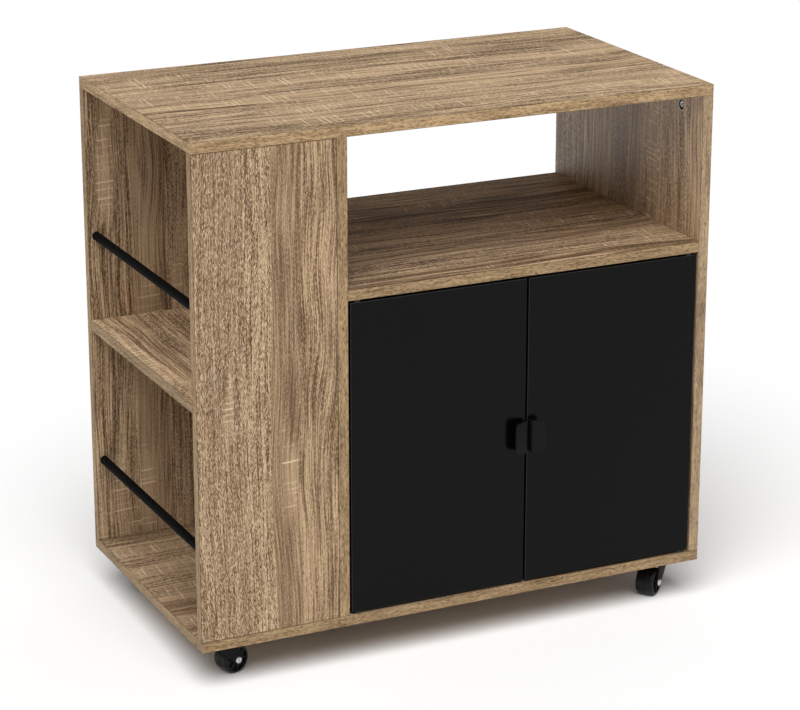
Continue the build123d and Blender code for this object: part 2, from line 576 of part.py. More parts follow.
# Doors with their bushes, pins, strike plates and pulls; the sign points from the centre gap to the pivot
door_width = (cabinet_right - cabinet_left - 3 * DOOR_GAP) / 2
door_bottom = floor_top + DOOR_GAP
door_top = cabinet_top - DOOR_GAP
free_edge = DOOR_GAP / 2
pull_level = (door_bottom + door_top) / 2 - PULL_DROP
pull_inner = free_edge + PULL_EDGE_INSET
pull_screw_offset = pull_inner + PULL_PLATE / 2 + PULL_POST / 2
pull_hole = PULL_SCREW_DIAMETER + 2 * FIT
pull_screw_levels = [pull_level + sign * PULL_SCREW_SPACING / 2 for sign in (-1, 1)]
for side, sign, pivot_place in (("left", -1, pivot_places[0]), ("right", 1, pivot_places[1])):
    pivot_ends = [toward((*pivot_place, door_bottom), up), toward((*pivot_place, door_top), down)]
    strike_axis = toward((door_centre + sign * strike_offset, door_back, strike_level), (0, -1, 0))
    pull_x = door_centre + sign * pull_screw_offset
    pull_axes = [toward((pull_x, door_back, z), (0, -1, 0)) for z in pull_screw_levels]
    door_edges = sorted((door_centre + sign * free_edge, door_centre + sign * (free_edge + door_width)))

    with BuildPart() as door:
        board(door_edges, (front, door_back), (door_bottom, door_top), DOOR_ARRIS)
        for axis in pivot_ends:
            rod(axis, 0, bush_depth + FIT, PIVOT_BUSH_DIAMETER + 2 * FIT, Mode.SUBTRACT)
        for axis in pull_axes:
            rod(axis, 0, DOOR_THICKNESS, pull_hole, Mode.SUBTRACT)
        rod(strike_axis, 0, STRIKE_SCREW_REACH + FIT, STRIKE_SCREW_DIAMETER + 2 * FIT, Mode.SUBTRACT)
    save(door, f"{side}_door")

    with BuildPart() as door_bushes:
        for axis in pivot_ends:
            rod(axis, 0, bush_depth, PIVOT_BUSH_DIAMETER)
            rod(axis, -pivot_flange, 0, PIVOT_FLANGE_DIAMETER)
            rod(axis, -pivot_flange, bush_depth, bush_bore, Mode.SUBTRACT)
    save(door_bushes, f"{side}_door_bushes")

    with BuildPart() as pivot_pins:
        for axis in pivot_ends:
            rod(axis, -DOOR_GAP - PIVOT_PIN_REACH, PIVOT_PIN_REACH, PIVOT_PIN_DIAMETER)
    save(pivot_pins, f"{side}_pivot_pins")

    with BuildPart() as strike_plate:
        with Locations([strike_axis.offset(-STRIKE_THICKNESS / 2).origin]):
            Box(STRIKE_WIDTH, STRIKE_THICKNESS, STRIKE_HEIGHT)
        rod(strike_axis, -STRIKE_THICKNESS, 0, STRIKE_SCREW_HEAD + 2 * FIT, Mode.SUBTRACT)
    save(strike_plate, f"{side}_strike_plate")

    with BuildPart() as strike_screw:
        rod(strike_axis, -STRIKE_THICKNESS, 0, STRIKE_SCREW_HEAD)
        rod(strike_axis, 0, STRIKE_SCREW_REACH, STRIKE_SCREW_DIAMETER)
    save(strike_screw, f"{side}_strike_screw")

    with BuildPart() as pull:
        with BuildSketch(Plane.XY.offset(pull_level - PULL_HEIGHT / 2)):
            with BuildLine():
                inner = door_centre + sign * pull_inner
                outer = inner + sign * PULL_REACH
                leg_front = front - PULL_LEG
                lip_front = front - PULL_PROJECTION
                Polyline(
                    (inner, front),
                    (inner + sign * PULL_PLATE, front),
                    (inner + sign * PULL_PLATE, leg_front + PULL_PLATE),
                    (outer, lip_front + PULL_PLATE),
                    (outer, lip_front),
                    (inner, leg_front),
                    close=True,
                )
            make_face()
        extrude(amount=PULL_HEIGHT)
        ends = pull.edges().filter_by(Axis.Y)
        fillet(ends.filter_by(lambda edge: abs(edge.center().X - outer) < FIT), PULL_CORNER)
        inner_edges = pull.edges().filter_by(Axis.Z).filter_by(lambda edge: abs(edge.center().X - inner) < FIT)
        fillet(inner_edges.sort_by(Axis.Y)[0], PULL_BEND)
        for axis in pull_axes:
            rod(axis, DOOR_THICKNESS, DOOR_THICKNESS + PULL_LEG, PULL_POST)
        for axis in pull_axes:
            rod(axis, DOOR_THICKNESS, DOOR_THICKNESS + PULL_THREAD + FIT, pull_hole, Mode.SUBTRACT)
    save(pull, f"{side}_pull")

    with BuildPart() as pull_screws:
        for axis in pull_axes:
            rod(axis, -PULL_SCREW_HEAD_LENGTH, 0, PULL_SCREW_HEAD)
            rod(axis, 0, DOOR_THICKNESS + PULL_THREAD, PULL_SCREW_DIAMETER)
    save(pull_screws, f"{side}_pull_screws")

# Casters: a screwed plate with a dish, a riveted kingpin, a turning fork, an axle rivet and a wheel
kingpin_head_top = crown_underside - SWIVEL_PLAY
leg_inside = WHEEL_WIDTH / 2 + WHEEL_SIDE_PLAY
leg_outside = leg_inside + FORK_LEG
for caster in casters:
    kingpin_axis = toward((caster.x, caster.y, 0), up)
    axle_centre = Vector(caster.x, caster.y, axle_level) + caster.trail * CASTER_TRAIL
    axle_axis = toward(axle_centre, caster.axle)
    kingpin_bore = KINGPIN_DIAMETER + 2 * FIT

    with BuildPart() as plate:
        with BuildSketch(kingpin_axis.offset(plate_underside)):
            RectangleRounded(CASTER_PLATE, CASTER_PLATE, CASTER_PLATE_CORNER)
            with Locations(screw_corners):
                Circle(CASTER_SCREW_DIAMETER / 2 + FIT, mode=Mode.SUBTRACT)
        extrude(amount=CASTER_PLATE_THICKNESS)
        rod(kingpin_axis, dish_bottom, plate_underside, DISH_DIAMETER)
        rod(kingpin_axis, dish_bottom, underside, kingpin_bore, Mode.SUBTRACT)
        head_seat = underside - KINGPIN_HEAD_LENGTH
        rod(kingpin_axis, head_seat, underside, KINGPIN_HEAD + 2 * FIT, Mode.SUBTRACT)
    save(plate, f"{caster.name}_caster_plate")

    with BuildPart() as kingpin:
        rod(kingpin_axis, kingpin_head_top, underside, KINGPIN_DIAMETER)
        rod(kingpin_axis, underside - KINGPIN_HEAD_LENGTH, underside, KINGPIN_HEAD)
        rod(kingpin_axis, kingpin_head_top - KINGPIN_HEAD_LENGTH, kingpin_head_top, KINGPIN_HEAD)
    save(kingpin, f"{caster.name}_kingpin")

    with BuildPart() as fork:
        crown_plane = Plane(origin=(caster.x, caster.y, crown_underside), x_dir=caster.trail, z_dir=up)
        with BuildSketch(crown_plane):
            RectangleRounded(FORK_CROWN_LENGTH, 2 * leg_outside, FORK_CROWN_CORNER)
        extrude(amount=FORK_CROWN)
        leg_top = crown_top - axle_level
        for leg_offset in (leg_inside, -leg_outside):
            leg_plane = Plane(origin=axle_centre, x_dir=caster.trail, z_dir=-caster.axle).offset(leg_offset)
            with BuildSketch(leg_plane):
                with BuildLine():
                    CenterArc((0, 0), FORK_EYE / 2, 0, 360)
                    leg_half = FORK_CROWN_LENGTH / 2 - FORK_CROWN_CORNER
                    Line((-CASTER_TRAIL - leg_half, leg_top), (-CASTER_TRAIL + leg_half, leg_top))
                make_hull()
            extrude(amount=FORK_LEG)
        rod(kingpin_axis, crown_underside, crown_top, kingpin_bore, Mode.SUBTRACT)
        rod(axle_axis, -leg_outside, leg_outside, AXLE_DIAMETER + 2 * FIT, Mode.SUBTRACT)
    save(fork, f"{caster.name}_fork")

    with BuildPart() as axle:
        rod(axle_axis, -leg_outside - AXLE_HEAD_LENGTH, -leg_outside, AXLE_HEAD)
        rod(axle_axis, leg_outside, leg_outside + AXLE_HEAD_LENGTH, AXLE_HEAD)
        head_ends = axle.faces().sort_by(Axis(axle_centre, caster.axle))
        fillet(head_ends[0].edges() + head_ends[-1].edges(), AXLE_HEAD_ROUND)
        rod(axle_axis, -leg_outside, leg_outside, AXLE_DIAMETER)
    save(axle, f"{caster.name}_axle")

    with BuildPart() as wheel:
        half_width = WHEEL_WIDTH / 2
        recess_floor = half_width - WHEEL_RECESS
        bore = AXLE_DIAMETER / 2 + AXLE_RUNNING_FIT
        hub = WHEEL_HUB / 2
        rim = axle_level - WHEEL_EDGE - WHEEL_RIM_LAND
        flank = [
            (half_width, bore),
            (half_width, hub),
            (recess_floor, hub),
            (recess_floor, rim),
            (half_width, rim),
            (half_width, axle_level),
        ]
        with BuildSketch(Plane(origin=axle_centre, x_dir=caster.axle, z_dir=caster.trail)) as section:
            with BuildLine():
                Polyline(*flank, *((-x, y) for x, y in reversed(flank)), close=True)
            make_face()
            fillet(section.vertices().group_by(Axis.Y)[-1], WHEEL_EDGE)
        revolve(axis=Axis(axle_centre, caster.axle))
    save(wheel, f"{caster.name}_wheel")

with BuildPart() as caster_screws:
    for place in caster_screw_places:
        axis = toward((*place, plate_underside), up)
        rod(axis, -CASTER_SCREW_HEAD_LENGTH, 0, CASTER_SCREW_HEAD)
        rod(axis, 0, CASTER_PLATE_THICKNESS + CASTER_SCREW_REACH, CASTER_SCREW_DIAMETER)
save(caster_screws, "caster_screws")
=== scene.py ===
"""Looks of the kitchen trolley on its CAD frame.

Sawn-oak boards, black doors, rails, pulls, casters and fasteners, on a pale floor,
seen by a camera at the photograph's angle.
"""

import json
from math import atan2, cos, degrees, pi, radians, sin, sqrt, tan

import bmesh
import bpy
from mathutils import Matrix, Vector
from mathutils.geometry import convex_hull_2d


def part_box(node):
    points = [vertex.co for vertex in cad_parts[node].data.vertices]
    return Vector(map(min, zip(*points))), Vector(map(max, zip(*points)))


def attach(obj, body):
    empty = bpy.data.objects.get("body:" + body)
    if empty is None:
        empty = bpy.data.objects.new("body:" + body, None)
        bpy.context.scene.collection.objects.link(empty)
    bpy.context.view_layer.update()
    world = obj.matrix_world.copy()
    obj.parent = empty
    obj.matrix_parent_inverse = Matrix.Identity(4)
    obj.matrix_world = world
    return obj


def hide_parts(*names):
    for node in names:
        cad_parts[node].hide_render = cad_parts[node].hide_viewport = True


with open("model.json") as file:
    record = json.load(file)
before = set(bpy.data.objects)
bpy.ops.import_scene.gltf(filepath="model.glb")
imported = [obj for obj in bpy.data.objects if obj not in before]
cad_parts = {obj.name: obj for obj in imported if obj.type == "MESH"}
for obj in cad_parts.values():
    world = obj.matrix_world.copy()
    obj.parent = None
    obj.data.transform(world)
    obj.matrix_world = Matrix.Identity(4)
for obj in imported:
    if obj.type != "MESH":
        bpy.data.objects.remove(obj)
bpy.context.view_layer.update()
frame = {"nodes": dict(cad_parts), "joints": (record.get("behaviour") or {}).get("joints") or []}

nodes = frame["nodes"]
joints = {joint["name"]: joint for joint in frame["joints"]}
MM = 0.001


# Camera, in the photograph's frame of 800 by 710 pixels
PICTURE_WIDTH = 800
FOCAL_PIXELS = 2841.0
SENSOR_WIDTH = 36.0
CAMERA_PLACE = (-1.5992, -3.3700, 1.5946)
CAMERA_TURN = radians(25.45)  # to the right of straight at the doors
CAMERA_DROP = radians(18.41)  # below level

# Light and floor; each light has its strength, elevation, turn and softness
LIGHTS = {
    "key_light": (2.95, radians(59), radians(-31), radians(48)),
    "fill_light": (0.12, radians(25), radians(-70), radians(80)),
}
SKY_STRENGTH = 0.27
FLOOR_SIZE = 120.0

# Colours of the oak print, from the darkest line to the palest saw mark
OAK_DARK = (0.122, 0.071, 0.036, 1)
OAK_MIDDLE = (0.325, 0.211, 0.120, 1)
OAK_LIGHT = (0.555, 0.390, 0.238, 1)
OAK_PALE = (0.800, 0.625, 0.425, 1)
OAK_BROWN = (0.230, 0.145, 0.087, 1)
OAK_PORE = (0.072, 0.041, 0.021, 1)
BAND_DARK = (0.160, 0.097, 0.047, 1)
BAND_LIGHT = (0.490, 0.342, 0.192, 1)

# Sizes of the oak print, in metres
PLANK_WIDTH = 0.046
RING_SPACING = 0.0065
STROKE_SPACING = 0.0075
STROKE_LEAN = -0.05  # along the grain, for each metre across it
# EDGE_BAND_WALL is also the width of the painted joint shade round each face
EDGE_BAND_WALL = 0.0007

# Streaks of the prints: length and width in metres, then detail, roughness and layer of their noise
OAK_STRANDS = {
    "broad": (0.50, 0.030, 2.0, 0.5, 0.0),
    "band": (0.24, 0.0085, 2.0, 0.5, 3.0),
    "seam": (0.30, 0.0062, 2.0, 0.65, 4.5),
    "streak": (0.09, 0.0032, 2.0, 0.6, 6.0),
    "thread": (0.090, 0.0014, 1.0, 0.5, 8.0),
    "fibre": (0.0042, 0.00085, 2.0, 0.6, 9.0),
    "late wood": (0.28, 0.05, 1.0, 0.5, 12.0),
    "pore": (0.0044, 0.00085, 1.0, 0.5, 15.0),
    "fleck": (0.0044, 0.00085, 1.0, 0.5, 18.0),
    "shake": (0.22, 0.0060, 2.0, 0.5, 21.0),
}
BAND_STRANDS = {
    "broad": (0.12, 0.03, 2.0, 0.5, 0.0),
    "streak": (0.05, 0.0045, 2.0, 0.5, 3.0),
    "fibre": (0.008, 0.0017, 2.0, 0.6, 6.0),
    "pore": (0.007, 0.0016, 1.0, 0.5, 9.0),
}


class Nodes:
    """Adds nodes to one tree. A value is a number, a colour or another node's socket."""

    def __init__(self, tree):
        self.tree = tree

    def feed(self, socket, value):
        """Links a socket to another one, or sets it to a constant."""
        if isinstance(value, bpy.types.NodeSocket):
            self.tree.links.new(value, socket)
        else:
            socket.default_value = value

    def fill(self, inputs, **values):
        """Feeds several inputs, named with underscores for spaces."""
        for name, value in values.items():
            self.feed(inputs[name.replace("_", " ")], value)

    def add(self, kind, inputs, output=0, **settings):
        """Adds one node, feeds its inputs and returns one of its outputs."""
        node = self.tree.nodes.new(kind)
        for name, value in settings.items():
            setattr(node, name, value)
        for key, value in inputs.items():
            self.feed(node.inputs[key], value)
        return node.outputs[output]


class Shader(Nodes):
    """Nodes of one shader tree."""

    def calc(self, operation, *values):
        """Arithmetic on numbers and sockets."""
        return self.add("ShaderNodeMath", dict(enumerate(values)), operation=operation)

    def times(self, first, second):
        """The product of two numbers or sockets."""
        return self.calc("MULTIPLY", first, second)

    def linear(self, value, slope, start):
        """A start plus the slope times the value."""
        return self.calc("MULTIPLY_ADD", value, slope, start)

    def total(self, *values):
        """The sum of several numbers and sockets."""
        result = values[0]
        for value in values[1:]:
            result = self.calc("ADD", result, value)
        return result

    def join(self, x, y, z):
        """A vector from three numbers or sockets."""
        return self.add("ShaderNodeCombineXYZ", {0: x, 1: y, 2: z})

    def split(self, vector):
        """The three numbers of a vector."""
        first = self.add("ShaderNodeSeparateXYZ", {0: vector})
        return list(first.node.outputs)

    def place(self, along, length, across, width, layer):
        """A place on a layer of noise, counted in steps of a length along and a width across."""
        return self.join(self.calc("DIVIDE", along, length), self.calc("DIVIDE", across, width), layer)

    def stretch(self, vector, x, y, z):
        """A vector scaled by three numbers, so that one step of a pattern is 1."""
        return self.add("ShaderNodeVectorMath", {0: vector, 1: (x, y, z)}, operation="MULTIPLY")

    def shift(self, vector, x, y, z):
        """A vector moved by three numbers."""
        return self.add("ShaderNodeVectorMath", {0: vector, 1: (x, y, z)}, operation="ADD")

    def noise(self, vector, detail=2.0, roughness=0.5):
        """Soft noise from 0 to 1 whose grain is about one unit of the vector."""
        values = {"Vector": vector, "Scale": 1.0, "Detail": detail, "Roughness": roughness}
        return self.add("ShaderNodeTexNoise", values)

    def strand(self, along, flow, length, width, detail, roughness, layer):
        """Noise drawn out along the grain into streaks of a length and a width."""
        return self.noise(self.place(along, length, flow, width, layer), detail, roughness)

    def chances(self, vector):
        """Three even random numbers from 0 to 1 for each value of a vector."""
        return self.split(self.add("ShaderNodeTexWhiteNoise", {"Vector": vector}, output="Color"))

    def swing(self, value, amount):
        """A number from 0 to 1 turned into one from minus half of the amount to plus half of it."""
        return self.linear(value, amount, -amount / 2)

    def rise(self, value, low, high, start=0.0, end=1.0):
        """A smooth step from one level to another as the value passes from low to high."""
        values = {"Value": value, "From Min": low, "From Max": high, "To Min": start, "To Max": end}
        return self.add("ShaderNodeMapRange", values, interpolation_type="SMOOTHSTEP")

    def blend(self, share, first, second):
        """A mix of two colours."""
        return self.add("ShaderNodeMix", {0: share, 6: first, 7: second}, output=2, data_type="RGBA")

    def pick(self, share, first, second):
        """A mix of two vectors."""
        return self.add("ShaderNodeMix", {0: share, 4: first, 5: second}, output=1, data_type="VECTOR")

    def ramp(self, value, stops):
        """Colours along a scale from 0 to 1, given as places and colours."""
        result = self.add("ShaderNodeValToRGB", {0: value})
        scale = result.node.color_ramp
        for element, (place, colour) in zip(list(scale.elements), (stops[0], stops[-1])):
            element.position = place
            element.color = colour
        for place, colour in stops[1:-1]:
            scale.elements.new(place).color = colour
        return result


def group(name, inputs):
    """A new node group for a print, with its shader helper and the sockets inside it."""
    outputs = {"Colour": "Color", "Gloss loss": "Float", "Height": "Float"}
    tree = bpy.data.node_groups.new(name, "ShaderNodeTree")
    for way, sockets in (("INPUT", inputs), ("OUTPUT", outputs)):
        for socket, kind in sockets.items():
            tree.interface.new_socket(socket, in_out=way, socket_type=f"NodeSocket{kind}")
    enter = tree.nodes.new("NodeGroupInput")
    leave = tree.nodes.new("NodeGroupOutput")
    return Shader(tree), enter.outputs, leave.inputs


class Finish(Shader):
    """Nodes of one new material, with its surface shader and the piece's own coordinates."""

    def __init__(self, name, **constants):
        self.material = bpy.data.materials.new(name)
        self.material.use_nodes = True
        super().__init__(self.material.node_tree)
        self.surface = self.tree.nodes["Principled BSDF"].inputs
        self.fill(self.surface, **constants)
        self.spot = self.add("ShaderNodeTexCoord", {}, output="Object")

    def facing(self):
        """The three parts of the surface's direction."""
        return self.split(self.add("ShaderNodeTexCoord", {}, output="Normal"))

    def done(self, colour, roughness, height, depth):
        """The material with its colour and roughness, and a relief from 0 to 1 of a depth in metres."""
        bump = self.add("ShaderNodeBump", {"Strength": 1.0, "Distance": depth, "Height": height})
        self.fill(self.surface, Base_Color=colour, Roughness=roughness, Normal=bump)
        return self.material


# Sawn-oak print


def planks(s, along, across):
    """Planks side by side: the sway of their joints, and the tone, hue and figure of each."""
    sway = s.swing(s.noise(s.place(along, 0.45, across, 0.16, 1.0), detail=1.0), 0.030)
    row = s.calc("DIVIDE", s.total(across, sway), PLANK_WIDTH)
    cells = {"W": row, "Scale": 1.0, "Randomness": 0.9}
    plank = s.add("ShaderNodeTexVoronoi", cells, output="Color", voronoi_dimensions="1D")
    return sway, s.split(plank)


def saw_marks(s, along, across, through, ripple, tone, amount):
    """Clusters of short pale strokes across the grain: where the clusters lie, and their strokes."""
    leaning = s.total(s.linear(across, STROKE_LEAN, along), s.times(ripple, 1.5))
    row = s.calc("DIVIDE", leaning, STROKE_SPACING)
    row_number = s.calc("FLOOR", row)
    nudge, strength, weight = s.chances(s.join(row_number, s.times(tone, 91.0), 7.0))
    middle = s.total(s.swing(nudge, 0.5), 0.5)
    from_middle = s.calc("ABSOLUTE", s.calc("SUBTRACT", s.calc("FRACT", row), middle))
    half_stroke = s.linear(weight, 0.14, 0.15)
    line = s.rise(from_middle, 0.05, half_stroke, 1.0, 0.0)
    line = s.times(line, s.rise(strength, 0.0, 0.7, 0.15, 1.0))
    row_place = s.join(s.times(row_number, 3.7), s.calc("DIVIDE", across, 0.055), through)
    kept = s.rise(s.noise(row_place, detail=0.0), 0.42, 0.62)
    patch = s.noise(s.place(along, 0.26, across, 0.042, 24.0), detail=1.0)
    patch = s.rise(s.total(patch, s.times(amount, 0.1)), 0.60, 0.67)
    return patch, s.times(s.times(line, kept), patch)


def oak_print():
    """The boards' face print. Its input runs along the grain, across it and through, in metres."""
    inputs = {"Grain": "Vector", "Saw marks": "Float", "Boldness": "Float"}
    s, enter, leave = group("Sawn-oak print", inputs)
    along, across, through = s.split(enter["Grain"])
    boldness = enter["Boldness"]

    # The grain sways with the planks, curls in the figured ones and ripples a little in all of them
    sway, (tone, hue, figure) = planks(s, along, across)
    curl_place = s.place(along, 0.24, across, 0.07, s.times(tone, 37.0))
    curl = s.swing(s.noise(curl_place, detail=1.0), 0.030)
    curl = s.times(curl, s.rise(figure, 0.35, 0.8, 0.15, 1.0))
    ripple = s.swing(s.noise(s.place(along, 0.04, across, 0.02, tone)), 0.0014)
    flow = s.total(across, sway, curl, ripple)

    def strand(name):
        *shape, layer = OAK_STRANDS[name]
        return s.strand(along, flow, *shape, s.total(tone, layer))

    # Flat-sawn planks are smooth with long brown lines, and the others have a fine sandy grain
    flat_sawn = s.rise(figure, 0.60, 0.72)
    sandy = s.linear(flat_sawn, -0.55, 1.0)
    rings = s.calc("FRACT", s.calc("DIVIDE", flow, RING_SPACING))
    late_wood = s.times(s.calc("POWER", rings, 2.5), s.rise(strand("late wood"), 0.35, 0.6))

    # Tone along the grain, from broad bands down to single fibres
    seam, streak, thread, fibre = (strand(name) for name in ("seam", "streak", "thread", "fibre"))
    broad, band = s.swing(strand("broad"), 0.75), s.swing(strand("band"), 0.75)
    strips = s.total(s.swing(tone, 0.36), broad, band, s.swing(seam, 1.3))
    streak_swing = s.swing(streak, 1.0)
    value = s.total(
        s.linear(flat_sawn, 0.08, 0.54),
        s.times(strips, boldness),
        s.times(streak_swing, s.linear(boldness, 0.5, 0.4)),
        s.swing(thread, 2.8),
        s.times(s.swing(fibre, 4.2), sandy),
        s.times(late_wood, s.linear(flat_sawn, -0.40, -0.15)),
    )
    colour = s.ramp(value, [(0.0, OAK_DARK), (0.5, OAK_MIDDLE), (1.0, OAK_LIGHT)])
    colour = s.blend(s.rise(hue, 0.4, 1.0, 0.0, 0.38), colour, OAK_BROWN)

    # The strips of a bold board reach both ends of the scale, so its fine lines are laid over them
    fine_lines = s.total(streak_swing, s.swing(seam, 0.5), s.swing(thread, 0.8))
    line_share = s.linear(boldness, 0.5, -0.37)
    gain = s.linear(fine_lines, line_share, 1.0)
    colour = s.add("ShaderNodeVectorMath", {0: colour, "Scale": gain}, operation="SCALE")

    # Pores are short dark dashes with pale flecks between them, and dark shakes lie here and there
    rows = s.swing(streak, 0.18)
    pore = s.rise(s.calc("SUBTRACT", strand("pore"), rows), 0.54, 0.64)
    fleck = s.rise(s.total(strand("fleck"), rows), 0.54, 0.64)
    colour = s.blend(s.times(pore, s.times(sandy, 0.70)), colour, OAK_PORE)
    colour = s.blend(s.times(fleck, s.times(sandy, 0.55)), colour, OAK_PALE)
    colour = s.blend(s.rise(strand("shake"), 0.65, 0.74, 0.0, 0.80), colour, OAK_DARK)

    patch, stroke = saw_marks(s, along, across, through, ripple, tone, enter["Saw marks"])
    colour = s.blend(s.times(patch, 0.32), colour, OAK_LIGHT)
    colour = s.blend(s.times(stroke, 0.75), colour, OAK_PALE)
    height = s.total(s.swing(fibre, 0.6), s.times(pore, -0.5), s.times(stroke, 0.2), 0.6)
    loss = s.linear(pore, 0.15, s.swing(fibre, 0.2))
    s.fill(leave, Colour=colour, Gloss_loss=loss, Height=height)
    return s.tree


def band_print():
    """The print on the boards' edge bands: wavy lengthwise grain, a little yellower than the faces."""
    s, enter, leave = group("Edge-band print", {"Grain": "Vector"})
    along, across, _ = s.split(enter["Grain"])
    waver = s.swing(s.noise(s.place(along, 0.03, across, 0.02, 2.0)), 0.010)
    flow = s.total(across, waver)
    streaks = {name: s.strand(along, flow, *shape) for name, shape in BAND_STRANDS.items()}
    fibre = streaks["fibre"]
    tones = (s.swing(streaks["streak"], 1.4), s.swing(fibre, 2.0), s.swing(streaks["broad"], 0.9))
    colour = s.ramp(s.total(0.55, *tones), [(0.0, BAND_DARK), (1.0, BAND_LIGHT)])
    pore = s.rise(streaks["pore"], 0.56, 0.68)
    colour = s.blend(s.times(pore, 0.60), colour, OAK_PORE)
    height = s.total(s.swing(fibre, 0.6), s.times(pore, -0.5), 0.6)
    s.fill(leave, Colour=colour, Gloss_loss=s.swing(fibre, 0.2), Height=height)
    return s.tree


def oak_board(node, grain, thickness, offset, looks, face_print, edge_print):
    """One board's finish, from the axes of its grain and thickness and its place on the printed paper."""
    saw, boldness, face_tone_and_shade, edge_tone_and_shade, sheen = looks
    s = Finish(f"Sawn oak on {node}", Specular_IOR_Level=sheen)
    side = next(name for name in "XYZ" if name not in (grain, thickness))
    spot = dict(zip("XYZ", s.split(s.spot)))
    facing = dict(zip("XYZ", s.facing()))
    ends = dict(zip("XYZ", zip(*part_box(node))))
    along, across, through = (spot[name] for name in (grain, side, thickness))

    face_grain = s.shift(s.join(along, across, through), *offset)
    long_edge = s.shift(s.join(along, through, across), *offset)
    short_edge = s.shift(s.join(across, through, along), *offset)
    on_short_edge = s.calc("GREATER_THAN", s.calc("ABSOLUTE", facing[grain]), 0.6)
    edge_grain = s.pick(on_short_edge, long_edge, short_edge)

    # The edge band shows on the edges, and a thin dark line round each face is painted shade of the small
    # gap at each joint
    on_edge = s.calc("LESS_THAN", s.calc("ABSOLUTE", facing[thickness]), 0.5)
    joint_shade_rims = []
    for name in (grain, side):
        low, high = ends[name]
        from_middle = s.calc("ABSOLUTE", s.calc("SUBTRACT", spot[name], (low + high) / 2))
        joint_shade_rims.append(s.calc("GREATER_THAN", from_middle, (high - low) / 2 - EDGE_BAND_WALL))
    joint_shade_line = s.times(s.calc("MAXIMUM", *joint_shade_rims), s.calc("SUBTRACT", 1.0, on_edge))

    face_inputs = {"Grain": face_grain, "Saw marks": saw, "Boldness": boldness}
    face = s.add("ShaderNodeGroup", face_inputs, node_tree=face_print).node.outputs
    edge = s.add("ShaderNodeGroup", {"Grain": edge_grain}, node_tree=edge_print).node.outputs
    # The board's face and edge tones are partly painted light and shade, set for how the light falls on it
    face_colour = s.stretch(face["Colour"], face_tone_and_shade, face_tone_and_shade, face_tone_and_shade)
    edge_colour = s.stretch(edge["Colour"], edge_tone_and_shade, edge_tone_and_shade, edge_tone_and_shade)
    colour = s.blend(on_edge, face_colour, edge_colour)
    # Painted shade along each joint, in the pore colour
    colour = s.blend(s.times(joint_shade_line, 0.65), colour, OAK_PORE)
    outputs = ("Gloss loss", "Height")
    loss, height = (s.add("ShaderNodeMix", {0: on_edge, 2: face[name], 3: edge[name]}) for name in outputs)
    return s.done(colour, s.total(loss, 0.43), height, 0.12 * MM)


# Other finishes


def speckled(name, dark, light, grain, depth, roughness, sheen):
    """A finish with a fine even grain: two close colours, a little change of gloss and a fine relief."""
    s = Finish(name, Specular_IOR_Level=sheen)
    fine = s.noise(s.stretch(s.spot, 1 / grain, 1 / grain, 1 / grain), detail=3.0, roughness=0.6)
    cloud = s.noise(s.stretch(s.spot, 9, 9, 9), detail=3.0)
    share = s.total(s.swing(fine, 0.7), s.swing(cloud, 0.9), 0.5)
    colour = s.ramp(share, [(0.1, dark), (0.9, light)])
    return s.done(colour, s.total(s.swing(cloud, 0.1), roughness), fine, depth)


def black_door_board():
    """Matt black melamine with a faint grain that runs up the door."""
    s = Finish("Matt black door board", Specular_IOR_Level=0.12)
    fine = s.noise(s.stretch(s.spot, 1500, 1500, 600), detail=3.0, roughness=0.6)
    cloud = s.noise(s.stretch(s.spot, 5, 5, 3), detail=3.0)
    share = s.total(s.swing(fine, 0.6), s.swing(cloud, 0.7), 0.5)
    colour = s.ramp(share, [(0.1, (0.0008, 0.0007, 0.0008, 1)), (0.9, (0.0018, 0.0016, 0.0017, 1))])

    # The eased edges, which face no axis, are a little greyer than the faces: partly the edge band's
    # lighter seam, partly a painted highlight where the arris catches light
    x, y, z = (s.calc("ABSOLUTE", part) for part in s.facing())
    arris_seam_and_highlight = s.calc("LESS_THAN", s.calc("MAXIMUM", s.calc("MAXIMUM", x, y), z), 0.85)
    colour = s.blend(arris_seam_and_highlight, colour, (0.020, 0.019, 0.019, 1))
    loss = s.linear(arris_seam_and_highlight, 0.2, s.swing(cloud, 0.06))
    return s.done(colour, s.total(loss, 0.20), fine, 0.03 * MM)


def plated_metal(name, dark, light, roughness):
    """Plated metal with fine drawing lines and a slightly clouded gloss."""
    s = Finish(name, Metallic=1.0)
    lines = s.noise(s.stretch(s.spot, 2600, 2600, 300), detail=2.0)
    cloud = s.noise(s.stretch(s.spot, 160, 160, 160), detail=3.0)
    share = s.total(s.swing(lines, 0.6), s.swing(cloud, 0.7), 0.5)
    colour = s.ramp(share, [(0.1, dark), (0.9, light)])
    return s.done(colour, s.total(s.swing(cloud, 0.22), roughness), lines, 0.02 * MM)


def beech_dowel():
    """Plain beech with short flecks."""
    s = Finish("Beech dowel", Specular_IOR_Level=0.25)
    fleck = s.noise(s.stretch(s.spot, 700, 700, 700), detail=2.0)
    colour = s.ramp(fleck, [(0.3, (0.42, 0.26, 0.13, 1)), (0.7, (0.62, 0.43, 0.25, 1))])
    return s.done(colour, 0.7, fleck, 0.08 * MM)


